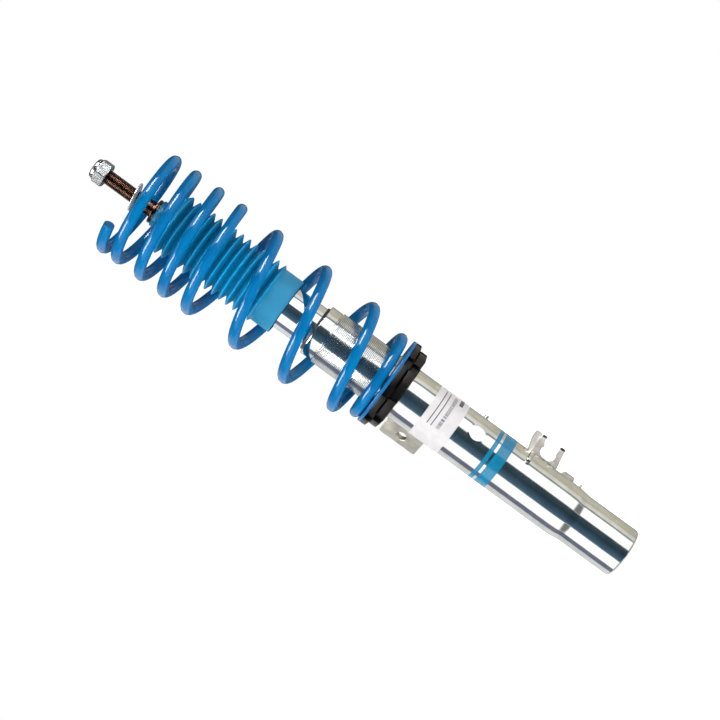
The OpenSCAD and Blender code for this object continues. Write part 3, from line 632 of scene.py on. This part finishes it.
# shot-peened spring steel, powder coated: thick even gloss with a soft orange peel
coilSpring = {"wire": 5.25, "radius": 51, "seatRadius": 39.2, "narrowTurns": 3.6, "turns": 8.15,
              "openTurns": 4, "closeRatio": 0.47, "tail": 0.25, "low": 272.75, "high": 547.1, "lean": 3.2,
              "ringsPerTurn": 40, "sides": 28,
              "colour": "#00659A", "shade": "#005B90", "roughness": 0.1, "peelMm": 2.6}


def springCoat(spring):
    material, tree, shader, place = startMaterial("powderCoatedSpringSteel",
                                                  {"IOR": 1.5, "Specular IOR Level": 0.25})
    cloud = grain(tree, place, 18)
    peel = grain(tree, place, spring["peelMm"], detail=2)
    tone = addNode(tree, "ValToRGB", {"stops": [(0.35, spring["colour"]), (0.68, spring["shade"])]},
                   {0: cloud})
    tree.links.new(tone.outputs[0], shader.inputs["Base Color"])
    dull = remap(tree, cloud, 0.3, 0.7, spring["roughness"] * 0.8, spring["roughness"] * 1.3)
    tree.links.new(dull, shader.inputs["Roughness"])
    relief = addNode(tree, "Bump", {"Strength": 0.07, "Distance": 0.0003}, {"Height": peel})
    tree.links.new(relief.outputs[0], shader.inputs["Normal"])
    return material


def rampUp(n, middle, width):
    if n <= middle - width / 2:
        return 0
    if n >= middle + width / 2:
        return n - middle
    return (n - middle + width / 2) ** 2 / (2 * width)


def climb(spring, n):
    # flat on the seat, open coils, close coils, end coil
    return (rampUp(n, 0.72, 1.5) - (1 - spring["closeRatio"]) * rampUp(n, spring["openTurns"], 0.3)
            - 0.22 * rampUp(n, spring["turns"] - 0.9, 0.5))


def wireAt(spring, n):
    share = climb(spring, n) / climb(spring, spring["turns"])
    z = spring["low"] + (spring["high"] - spring["low"]) * share
    narrow, wide = spring["seatRadius"], spring["radius"]
    grown = min(rampUp(n, 0.55, 0.5) / (spring["narrowTurns"] - 0.55), 1)
    r = narrow + (wide - narrow) * (1 - math.exp(-5.2 * grown)) / (1 - math.exp(-5.2))
    lean = spring["lean"] * (1 - math.exp(-max(n, 0) / 1.2))
    a = math.radians(180 + 360 * n)
    return np.array([r * math.cos(a) - lean, r * math.sin(a), z])


def makeSpring(spring):
    count = math.ceil((spring["turns"] + spring["tail"]) * spring["ringsPerTurn"])
    stations = np.linspace(-spring["tail"], spring["turns"], count + 1)
    sides = spring["sides"]
    rings, places = [], []

    def addRing(n, size, shift=0.0):
        along = wireAt(spring, n + 0.002) - wireAt(spring, n - 0.002)
        along /= np.linalg.norm(along)
        a = math.radians(180 + 360 * n)
        side = np.cross(along, [math.cos(a), math.sin(a), 0])
        side /= np.linalg.norm(side)
        up = np.cross(side, along)
        centre = wireAt(spring, n)
        turn = evenTurn(sides)[:, None]
        rings.append(centre + along * shift + size * (up * np.cos(turn) + side * np.sin(turn)))
        places.append(n)

    wire = spring["wire"]
    for size in (0.55, 0.86, 0.96):
        addRing(stations[0], wire * size, 0.0 if size < 0.9 else 0.25)
    for n in stations[1:-1]:
        addRing(n, wire)
    for size in (0.96, 0.86, 0.55):
        addRing(stations[-1], wire * size, 0.0 if size < 0.9 else -0.25)
    faces = cappedFaces(len(rings), sides)
    piece = newPiece("coilSpring", np.vstack(rings), faces, springCoat(spring), 40)
    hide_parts("coil_spring")
    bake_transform(piece)
    # each ring of the wire is weighted by its share of the room between the coils
    fine = np.linspace(0, spring["turns"], 400)
    height = np.array([wireAt(spring, n)[2] for n in fine])
    room = np.maximum(np.gradient(height, fine) - 2.06 * wire, 0)
    closing = np.concatenate([[0], np.cumsum((room[1:] + room[:-1]) / 2)])
    closing /= closing[-1]
    weights = np.repeat(np.interp(np.maximum(places, 0), fine, closing), sides)
    if len(piece.data.vertices) != len(weights):  # merging doubles never removes a point here
        raise ValueError("the spring's rings lost points")
    return piece


makeSpring(coilSpring)

# turned and powder coated in the spring's colour
seatRing = {"inner": 26.85, "outer": 44.25, "low": 264, "high": 267.2, "colour": "#005F98",
            "shade": "#00568E", "roughness": 0.25, "cloudMm": 9, "grainMm": 0.9, "bump": 0.25,
            "specular": 0.3}
seat = lathe("seatRing", [
    (seatRing["inner"], seatRing["low"], 0.3), (seatRing["outer"], seatRing["low"], 0.9),
    (seatRing["outer"], seatRing["high"], 0.9), (seatRing["inner"], seatRing["high"], 0.3)],
    plastic("powderCoatedSeat", seatRing), 160)
standIn(seat, "spring_seat", "spring_coat", "seat_ring")
print("coil spring made")


# aluminium, turned and black anodised: brown-black, with rings from the tool that catch the light
ringFinish = {"colour": "#13100E", "shade": "#0D0B0A", "metallic": 0.5, "roughness": 0.36, "cloudMm": 6,
              "lineMm": 0.7, "lineStretch": (1, 1, 1), "lineTone": 0.3, "bump": 0.25}
blackAnodised = metal("blackAnodisedAluminium", ringFinish)

adjusterRings = {
    "perch": {"outer": 44.25, "low": 257, "high": 264}, "lock": {"outer": 40.15, "low": 248, "high": 257},
    "bore": 26.6, "notches": 8, "firstNotch": -99.5, "notchAngle": 14, "notchDepth": 4.5, "bevel": 0.8,
    "coneWidth": 4.5, "coneDrop": 1.8,
}


def ringOutline(rings, outer):
    half = rings["notchAngle"] / 2
    floor = outer - rings["notchDepth"]
    gap = 360 / rings["notches"]
    outline = []
    for i in range(rings["notches"]):
        middle = rings["firstNotch"] + gap * i
        for turn in np.linspace(-half, half, 3):  # the floor of the notch is flat
            reach = floor / math.cos(math.radians(turn))
            outline.append((reach, middle + turn))
        outline += [(outer, middle + turn) for turn in np.linspace(half, gap - half, 21)]
    return [(r * math.cos(math.radians(a)), r * math.sin(math.radians(a))) for r, a in outline]


def makeRing(name, rings, which, body, node):
    ring = rings[which]
    bevel = rings["bevel"]
    thickness = ring["high"] - ring["low"]
    mesh = plateFrom([ringOutline(rings, ring["outer"]), circleOutline(0, 0, rings["bore"], 120)],
                     thickness, bevel)
    mesh.transform(Matrix.Translation((0, 0, (ring["low"] + ring["high"]) / 2)))
    # the lower face falls away towards the rim
    for point in mesh.vertices:
        out = min(max((point.co.xy.length - ring["outer"]) / rings["coneWidth"] + 1, 0), 1)
        point.co.z += rings["coneDrop"] * out * (ring["high"] - point.co.z) / thickness
    mesh.transform(Matrix.Scale(0.001, 4))
    return standIn(finishPiece(name, mesh, blackAnodised, 34), body, "black_anodised", node)


makeRing("perchRing", adjusterRings, "perch", "perch_ring", "perch_ring")
makeRing("lockRing", adjusterRings, "lock", "lock_ring", "lock_ring")
print("adjuster rings made")


# pressed from sheet: one prong either side of the hose's slot, with bent tips and a bent side flange
hoseBracket = {
    "sheet": 2.5, "root": 23.4, "low": 94, "rootHigh": 122.2, "tip": 41.45, "tipLow": 96.8,
    "tipLength": 4.4, "tipBend": 45, "slotX": 33.35, "slotZ": 108.5, "slotRadius": 5.6, "slotSpread": 1.9,
    "mouthLow": 102.15, "mouthHigh": 114.85, "flangeWidth": 9, "flangeBend": 50, "bendRadius": 2.4,
    "footLow": 118.4, "footHigh": 123.1, "footRadius": 25.95, "footAngle": -53, "footLean": 1.2,
    "darkTipFrom": 1.7,
}


def bracketOutline(b):
    # the flat sheet before bending, x outwards and y up, anticlockwise from its lower root
    tip, high, far = b["tip"], b["rootHigh"], b["tip"] + b["tipLength"]
    outline = [(b["root"], b["low"]), (26.9, b["low"])]
    outline += [(tip, b["tipLow"]), (far - 0.6, b["tipLow"] + 0.2),
                (far, b["tipLow"] + 0.8), (far, b["mouthLow"] - 0.6),
                (far - 0.6, b["mouthLow"])]
    slotLow, slotHigh = b["slotZ"] - b["slotSpread"], b["slotZ"] + b["slotSpread"]
    r = b["slotRadius"]
    start = -math.asin(min(1, (slotLow - b["mouthLow"]) / r))
    outline += [(b["slotX"] + r * math.cos(a), slotLow + r * math.sin(a)) for a in
                np.linspace(start, -math.pi, 20)]
    outline += [(b["slotX"] + r * math.cos(a), slotHigh + r * math.sin(a)) for a in
                np.linspace(math.pi, -start, 20)]
    flare = b["mouthHigh"] + 2.5
    outline += [(b["slotX"] + 3.6, b["mouthHigh"]), (tip - 1, flare),
                (far - 0.6, flare), (far, flare + 0.6),
                (far, high - 0.9), (far - 0.5, high - 0.4),
                (tip + 0.3, high - 0.4), (tip, high), (tip + 0.2, high + 0.7)]
    top = high + b["flangeWidth"]
    outline += [(tip + 3.4, high + 1.0), (tip + 4, high + 1.7), (tip + 4, top - 1.4),
                (tip + 3, top), (tip - 4, top), (30, high + 5.8), (b["root"], high + 4.2)]
    return outline


def bendOver(across, past, thick, turn, radius):
    # a sheet bent over a radius: how far across it ends, how far back, for a point past the bend line
    angle = np.clip(past / radius, 0, turn)
    left = np.maximum(past - radius * turn, 0)
    forward = radius * np.sin(angle) + left * np.cos(angle)
    back = radius * (1 - np.cos(angle)) + left * np.sin(angle)
    bent = past > 0
    newAcross = np.where(bent, across - past + forward - thick * np.sin(angle), across)
    newBack = np.where(bent, back + thick * np.cos(angle), thick)
    return newAcross, newBack


def makeBracket(b):
    mesh = plateFrom([bracketOutline(b)], b["sheet"], 0.02, 0)
    holder = addObject("flatSheet", mesh)
    remesh = holder.modifiers.new("even", "REMESH")
    remesh.mode = "VOXEL"
    remesh.voxel_size = 0.32
    smooth = holder.modifiers.new("deburr", "SMOOTH")
    smooth.iterations = 5
    smooth.factor = 0.5
    graph = bpy.context.evaluated_depsgraph_get()
    flat = bpy.data.meshes.new_from_object(holder.evaluated_get(graph))
    bpy.data.objects.remove(holder)
    points = np.array([v.co[:] for v in flat.vertices])
    x, z, y = points[:, 0], points[:, 1], -points[:, 2]
    # smoothing pulls the faces in a little, so the sheet is set back to its thickness
    y = y * (b["sheet"] / 2) / np.abs(y).max()
    inTip = z < b["rootHigh"] - 0.2
    xTip, yTip = bendOver(x, x - (b["tip"] - 0.6), y, math.radians(b["tipBend"]), b["bendRadius"])
    zFlange, yFlange = bendOver(z, z - (b["rootHigh"] - 0.3), y, math.radians(b["flangeBend"]),
                                b["bendRadius"])
    newX = np.where(inTip, xTip, x)
    newY = np.where(inTip, yTip, yFlange)
    newZ = np.where(inTip, z, zFlange)
    faces = [tuple(p.vertices) for p in flat.polygons]
    piece = newPiece("hoseBracket", np.column_stack([newX, newY, newZ]), faces, zincMilky, 50)
    # the bent ends of the prongs are coloured dark: a painted dark reflection of the bent tips
    piece.data.materials.append(darkTipReflection)
    for face in piece.data.polygons:
        middle = face.center * 1000
        face.material_index = 1 if middle.x > b["tip"] + b["darkTipFrom"] and middle.z < b["rootHigh"] else 0
    return standIn(piece, "housing", "zinc_sheet", "hose_bracket")


def makeFoot(b):
    # a strip of the bracket that hugs the tube towards the front, leaning up a little
    low, high, r = b["footLow"], b["footHigh"], b["footRadius"]
    strip = roundOff([(r - 0.6, low), (r + b["sheet"], low, 1.6), (r + b["sheet"], high, 1.6),
                      (r - 0.6, high)])
    steps = np.radians(np.linspace(b["footAngle"], 1.5, 48))
    rows = []
    for i, a in enumerate(steps):
        thin = math.sqrt(min(1, (i + 0.3) / 4))  # the end is ground off round
        lean = b["footLean"] * (steps[-1] - a) / (steps[-1] - steps[0])
        middle = (low + high) / 2
        rows.append([((r - 0.6 + (p[0] - r + 0.6) * thin) * math.cos(a),
                      (r - 0.6 + (p[0] - r + 0.6) * thin) * math.sin(a),
                      middle + lean + (p[1] - middle) * (0.7 + 0.3 * thin)) for p in strip])
    faces = cappedFaces(len(steps), len(strip))
    foot = newPiece("bracketFoot", np.array(rows).reshape(-1, 3), faces, zincTube, 50)
    return standIn(foot, "housing", "zinc_sheet")


makeBracket(hoseBracket)
makeFoot(hoseBracket)
# the foot's bead goes round its end: each station is (angle, height)
bracketWelds = {"out": 25.75, "aside": 1.9, "low": 96, "highs": {"Front": 116, "Back": 121}, "bead": 1.5}
footBead = {"out": 26.1, "bead": 1.4,
            "stations": [(-52, 119.8), (-54.5, 120.6), (-55, 121.9), (-54.5, 123.2), (-52, 124)]}
for (end, high), side in zip(bracketWelds["highs"].items(), (-1, 1)):
    weldBead("bracketWeld" + end,
             [(bracketWelds["out"], side * bracketWelds["aside"], z)
              for z in np.linspace(bracketWelds["low"], high, 30)], bracketWelds["bead"])
footPath = [(footBead["out"] * math.cos(math.radians(a)), footBead["out"] * math.sin(math.radians(a)), z)
            for a, z in footBead["stations"]]
weldBead("footWeld", footPath, footBead["bead"])
print("hose bracket made")


linkPlate = {"angle": 129, "root": 25.2, "reach": 62.75, "middle": 223.6, "height": 40, "thickness": 5,
             "corner": 2, "holeX": 49.95, "hole": 5, "edge": 0.5}


def makeLinkPlate(p):
    low, high = p["middle"] - p["height"] / 2, p["middle"] + p["height"] / 2
    c = p["corner"]
    outline = [(p["root"], low)]
    quarter = np.linspace(0, math.pi / 2, 9)
    outline += [(p["reach"] - c + c * math.sin(a), low + c - c * math.cos(a)) for a in quarter]
    outline += [(p["reach"] - c + c * math.cos(a), high - c + c * math.sin(a)) for a in quarter]
    outline += [(p["root"], high)]
    mesh = plateFrom([outline, circleOutline(p["holeX"], p["middle"], p["hole"])], p["thickness"], p["edge"])
    # the plate is drawn flat, stood up, and turned to its place round the tube
    mesh.transform(Matrix.Rotation(math.radians(p["angle"]), 4, "Z") @ Matrix.Rotation(math.pi / 2, 4, "X"))
    mesh.transform(Matrix.Scale(0.001, 4))
    return standIn(finishPiece("linkPlate", mesh, zincSheet, 30), "housing", "zinc_sheet", "link_plate")


makeLinkPlate(linkPlate)
linkWelds = {"out": 25.7, "aside": linkPlate["thickness"] / 2 + 0.7, "low": 206, "high": 241.5, "bead": 1.9}
plateTurn = math.radians(linkPlate["angle"])
for side in (-1, 1):
    path = []
    for z in np.linspace(linkWelds["low"], linkWelds["high"], 40):
        x, y = linkWelds["out"], side * linkWelds["aside"]
        path.append((x * math.cos(plateTurn) - y * math.sin(plateTurn),
                     x * math.sin(plateTurn) + y * math.cos(plateTurn), z))
    weldBead("linkWeld" + ("Left" if side < 0 else "Right"), path, linkWelds["bead"])

locatingLug = {"angle": 12, "low": 74.2, "length": 13, "width": 6, "rise": 4.2, "tube": 25.95}


def makeLug(lug):
    # a pressed saddle: a rounded bar whose ends roll down to the tube
    rise, length = lug["rise"], lug["length"]
    rows = []
    for t in np.linspace(0, 1, 25):
        z = lug["low"] + length * t
        end = min(t, 1 - t) * length
        roll = min(end / (rise * 0.55), 1)
        h = rise * (0.25 + 0.75 * math.sqrt(1 - (1 - roll) ** 2))
        section = roundOff([(lug["tube"] - 1.2, -lug["width"] / 2), (lug["tube"] + h, -lug["width"] / 2, 0.8),
                            (lug["tube"] + h, lug["width"] / 2, 0.8), (lug["tube"] - 1.2, lug["width"] / 2)])
        rows.append([(p[0], p[1], z) for p in section])
    faces = cappedFaces(len(rows), len(rows[0]))
    turned = np.array(rows).reshape(-1, 3) @ np.array(Matrix.Rotation(math.radians(lug["angle"]), 3, "Z")).T
    piece = newPiece("locatingLug", turned, faces, zincPaintedShade, 50)
    return standIn(piece, "housing", "zinc_sheet", "locating_lug")


makeLug(locatingLug)


def makeStub(name, node, height, radius, angle=12, low=25.2, high=29.4):
    corners = [(0.01, low), (radius, low), (radius, high, 0.45), (0.01, high)]
    stub = lathe(name, corners, zincPaintedShade, 40)
    stub.data.transform(Matrix.Rotation(math.radians(angle), 4, "Z")
                        @ Matrix.Translation((0, 0, height / 1000)) @ Matrix.Rotation(math.pi / 2, 4, "Y"))
    return standIn(stub, "housing", "zinc_sheet", node)


makeStub("locatingPin", "locating_pin", 66, 1.2)
makeStub("cableStud", "cable_stud", 173, 2.2)
print("brackets made")


# metallised polyester label: satin silver with plain grey print blocks, no lettering
# each mark is its heights in mm and its angles from the front in radians
silverLabel = {"colour": "#C3C0C0", "shade": "#BBB8BA", "print": "#45454A", "roughness": 0.45,
               "marks": [(215.6, 216.6, -0.35, 1.25), (211.4, 212.4, -0.35, 1.25), (197.2, 201.0, 0.9, 1.5)],
               "code": (203.6, 207.2, -0.35, 1.2), "softHeight": 0.0001, "softTurn": 0.004}
# transparent blue ink on the same film: the tube's mirror shows through it
blueBand = {"colour": "#006E93", "shade": "#006689", "roughness": 0.14, "ior": 1.65}


def labelFilm(label):
    material, tree, shader, place = startMaterial("metallisedPolyesterLabel", {"Metallic": 0.15})
    parts = addNode(tree, "SeparateXYZ", links={0: place})
    behind = addNode(tree, "Math", {"operation": "MULTIPLY", 1: -1}, {0: parts.outputs[1]})
    around = addNode(tree, "Math", {"operation": "ARCTAN2"}, {0: parts.outputs[0], 1: behind.outputs[0]})

    def within(socket, low, high, soft):
        # 1 between low and high, 0 outside
        rise = remap(tree, socket, low - soft, low + soft)
        fall = remap(tree, socket, high + soft, high - soft)
        return addNode(tree, "Math", {"operation": "MULTIPLY"}, {0: rise, 1: fall}).outputs[0]

    def block(low, high, start, end):
        inHeight = within(parts.outputs[2], low / 1000, high / 1000, label["softHeight"])
        inTurn = within(around.outputs[0], start, end, label["softTurn"])
        return addNode(tree, "Math", {"operation": "MULTIPLY"}, {0: inHeight, 1: inTurn})

    # two thin rules and a plain block, then one code of bars of uneven width
    marks = [block(*mark).outputs[0] for mark in label["marks"]]
    bars = addNode(tree, "TexNoise", {"noise_dimensions": "1D", "Scale": 26, "Detail": 1},
                   {"W": around.outputs[0]})
    bar = addNode(tree, "MapRange", {1: 0.47, 2: 0.52}, {0: bars.outputs[0]})
    coded = block(*label["code"])
    coded = addNode(tree, "Math", {"operation": "MULTIPLY"}, {0: coded.outputs[0], 1: bar.outputs[0]})
    total = coded.outputs[0]
    for mark in marks:
        total = addNode(tree, "Math", {"operation": "ADD", "use_clamp": True}, {0: total, 1: mark}).outputs[0]
    fibre = grain(tree, place, 6)
    film = addNode(tree, "ValToRGB", {"stops": [(0.35, label["colour"]), (0.7, label["shade"])]}, {0: fibre})
    printed = addNode(tree, "Mix", {"data_type": "RGBA", 7: toLinear(label["print"])},
                      {0: total, 6: film.outputs[0]})
    tree.links.new(printed.outputs[2], shader.inputs["Base Color"])
    dull = remap(tree, fibre, 0.3, 0.7, label["roughness"] * 0.9, label["roughness"] * 1.2)
    tree.links.new(dull, shader.inputs["Roughness"])
    return material


bandFinish = dict(blueBand, cloudMm=8, grainMm=0.9, bump=0.04)
carried = {
    "silver_label": labelFilm(silverLabel), "blue_band": plastic("blueInkedFilm", bandFinish),
    "bottom_plate": groundSteel, "rod_nut": zincHardware, "bump_stop": foamUrethane, "piston_rod": hardChrome,
    "rebound_stop": nitrileRubber, "piston": sinteredIron, "piston_band": wearBand,
    "valve_shims": groundSteel,
    "piston_nut": zincHardware, "lower_guide_bush": tinBronze, "upper_guide_bush": tinBronze,
    "gas_piston": bareAluminium, "gas_piston_ring": nitrileRubber, "end_cap": groundSteel,
    "rod_guide": bareAluminium, "rod_seal": nitrileRubber, "guide_circlip": groundSteel,
    "nut_insert": naturalNylon,
}
for name, material in carried.items():
    for holder in nodes[name].material_slots:
        holder.material = material
print("films and inner parts finished")


studio = {
    "ringRadius": 2.2, "ringLow": -1.9, "ringHigh": 2.6, "ringStrength": 10,
    "roomShade": 0.15, "floorShade": 0.8, "cardTone": 0.16,
    "cardTop": (1.0, 1.4), "cardBottom": (-0.58, -0.82),
    "softboxes": [(-64, -27, 38), (41, 82, 26)], "softboxLow": 1.3, "softboxHigh": 2.56, "softAngle": 0.02,
    "floorSize": 5, "floorHeight": -0.002, "floorGlow": 0.92,
}

# what a mirror-like tube sees round it, by angle from the front, as brightness over ringStrength
surroundings = [
    (-180, (0.012, 0.013, 0.014)), (-160, (0.014, 0.015, 0.015)), (-150, (0.053, 0.053, 0.046)),
    (-112, (0.069, 0.065, 0.052)), (-100, (0.06, 0.056, 0.047)), (-92, (0.085, 0.081, 0.074)),
    (-79, (0.1, 0.097, 0.09)), (-75, (0.06, 0.062, 0.062)), (-72, (0.02, 0.024, 0.026)),
    (-69, (0.02, 0.024, 0.028)), (-65, (0.16, 0.16, 0.16)), (-26, (0.16, 0.16, 0.16)),
    (-23, (0.006, 0.009, 0.0115)), (3, (0.0026, 0.0055, 0.008)), (32, (0.0075, 0.0145, 0.0225)),
    (38, (0.016, 0.026, 0.036)), (40, (0.16, 0.16, 0.16)), (83, (0.15, 0.15, 0.15)),
    (87, (0.019, 0.02, 0.029)), (110, (0.021, 0.022, 0.031)), (114, (0.085, 0.088, 0.09)),
    (156, (0.09, 0.09, 0.09)), (166, (0.012, 0.013, 0.014)),
]


def makeStudio(s):
    # a band of cards round the strut, seen only in reflections
    count = 96
    turn = evenTurn(count)
    rows = [ringOf(0.02, s["ringLow"], turn), ringOf(s["ringRadius"], s["ringLow"], turn),
            ringOf(s["ringRadius"], s["ringHigh"], turn), ringOf(0.02, s["ringHigh"], turn)]
    mesh = bpy.data.meshes.new("reflectionCards")
    mesh.from_pydata(np.vstack(rows).tolist(), [], loftFaces(len(rows), count))
    cards = addObject("reflectionCards", mesh)
    material, tree = blankMaterial("reflectionCards")
    place = addNode(tree, "TexCoord").outputs["Object"]
    parts = addNode(tree, "SeparateXYZ", links={0: place})
    left = addNode(tree, "Math", {"operation": "MULTIPLY", 1: -1}, {0: parts.outputs[0]})
    front = addNode(tree, "Math", {"operation": "MULTIPLY", 1: -1}, {0: parts.outputs[1]})
    around = addNode(tree, "Math", {"operation": "ARCTAN2"}, {0: left.outputs[0], 1: front.outputs[0]})
    share = addNode(tree, "MapRange", {1: -math.pi, 2: math.pi}, {0: around.outputs[0]})
    ramp = addNode(tree, "ValToRGB", {"stops": [(0.5 + a / 360, c) for a, c in surroundings]},
                   {0: share.outputs[0]})
    # the bright cards end above and below, and the room behind them is dimmer there
    height = parts.outputs[2]
    above = remap(tree, height, *s["cardTop"], 1, s["roomShade"])
    edge = remap(tree, height, *s["cardBottom"], 1, s["roomShade"])
    floorward = remap(tree, height, *s["cardBottom"], 1, s["floorShade"])
    onCard = addNode(tree, "MapRange", {1: 0.11, 2: 0.15}, {0: ramp.outputs[0]})
    below = addNode(tree, "Mix", {"data_type": "FLOAT"},
                    {0: onCard.outputs[0], 2: floorward, 3: edge})
    falling = addNode(tree, "Math", {"operation": "MULTIPLY"}, {0: above, 1: below.outputs[0]})
    boost = addNode(tree, "Math", {"operation": "MULTIPLY", 1: s["ringStrength"]},
                    {0: falling.outputs[0]}).outputs[0]
    soft = s["softAngle"]
    bottom = remap(tree, height, s["softboxLow"] - 0.03, s["softboxLow"] + 0.03)
    top = remap(tree, height, s["softboxHigh"] + 0.05, s["softboxHigh"] - 0.05)
    for start, end, strength in s["softboxes"]:
        start, end = math.radians(start), math.radians(end)
        box = remap(tree, around.outputs[0], start - soft, start + soft)
        fall = remap(tree, around.outputs[0], end + soft, end - soft)
        for edge in (fall, bottom, top):
            box = addNode(tree, "Math", {"operation": "MULTIPLY"}, {0: box, 1: edge}).outputs[0]
        boost = addNode(tree, "Math", {"operation": "MULTIPLY_ADD", 1: strength / s["cardTone"]},
                        {0: box, 2: boost}).outputs[0]
    glow = addNode(tree, "Emission", links={"Color": ramp.outputs[0], "Strength": boost})
    addNode(tree, "OutputMaterial", links={"Surface": glow.outputs[0]})
    mesh.materials.append(material)
    cards.visible_camera = False
    cards.visible_diffuse = False
    cards.visible_shadow = False
    cards.visible_transmission = False

    # plain pale floor
    size = s["floorSize"] / 2
    floorMesh = bpy.data.meshes.new("floor")
    floorMesh.from_pydata([(x, y, s["floorHeight"]) for x, y in
                           ((-size, -size), (size, -size), (size, size), (-size, size))], [], [(0, 1, 2, 3)])
    floor = addObject("floor", floorMesh)
    floorMaterial = bpy.data.materials.new("paintedFloor")
    floorMaterial.use_nodes = True
    shader = floorMaterial.node_tree.nodes["Principled BSDF"]
    shader.inputs["Base Color"].default_value = (0.85, 0.85, 0.85, 1)
    shader.inputs["Roughness"].default_value = 0.8
    shader.inputs["Emission Color"].default_value = (1, 1, 1, 1)
    shader.inputs["Emission Strength"].default_value = s["floorGlow"]
    floorMesh.materials.append(floorMaterial)
    floor.visible_glossy = False


makeStudio(studio)

# white backdrop; the room gives more light from the left front than from the right
roomLight = {"brightFrom": (-0.85, -0.52, 0), "bright": 1.16, "dim": 0.66}
world = bpy.data.worlds.new("studio")
world.use_nodes = True
sky = world.node_tree
aim = addNode(sky, "TexCoord").outputs["Generated"]
toward = addNode(sky, "VectorMath", {"operation": "DOT_PRODUCT", 1: roomLight["brightFrom"]}, {0: aim})
level = addNode(sky, "MapRange", {1: -1, 2: 1, 3: roomLight["dim"], 4: roomLight["bright"]},
                {0: toward.outputs[1]})
seen = addNode(sky, "LightPath").outputs["Is Camera Ray"]
backdrop = addNode(sky, "Mix", {"data_type": "FLOAT", 3: 1}, {0: seen, 2: level.outputs[0]})
sky.nodes["Background"].inputs["Color"].default_value = (1, 1, 1, 1)
sky.links.new(backdrop.outputs[0], sky.nodes["Background"].inputs["Strength"])
bpy.context.scene.world = world

keyLight = {"place": (-1.3, -1.5, 0.8), "size": 1.0, "power": 16}
lamp = bpy.data.lights.new("key", "AREA")
lamp.size = keyLight["size"]
lamp.energy = keyLight["power"]
key = addObject("key", lamp)
key.location = keyLight["place"]
key.rotation_euler = (Vector((0, 0, 0.3)) - Vector(keyLight["place"])).to_track_quat("-Z", "Y").to_euler()
key.visible_glossy = False

bpy.context.scene.view_settings.view_transform = "Standard"

camera = {"place": (0.001, -1.618, 0.318), "aim": (0.001, 0, 0.297), "right": (0.5906, 0, -0.8070),
          "lens": 89, "sensor": 36}
lens = bpy.data.cameras.new("camera")
lens.lens = camera["lens"]
lens.sensor_width = camera["sensor"]
lens.clip_start = 0.05
viewer = addObject("camera", lens)
ahead = (Vector(camera["aim"]) - Vector(camera["place"])).normalized()
right = Vector(camera["right"])
right = (right - right.dot(ahead) * ahead).normalized()
up = right.cross(ahead)
turned = Matrix((right, up, -ahead)).transposed().to_4x4()
viewer.matrix_world = Matrix.Translation(camera["place"]) @ turned
bpy.context.scene.camera = viewer
print("studio made")
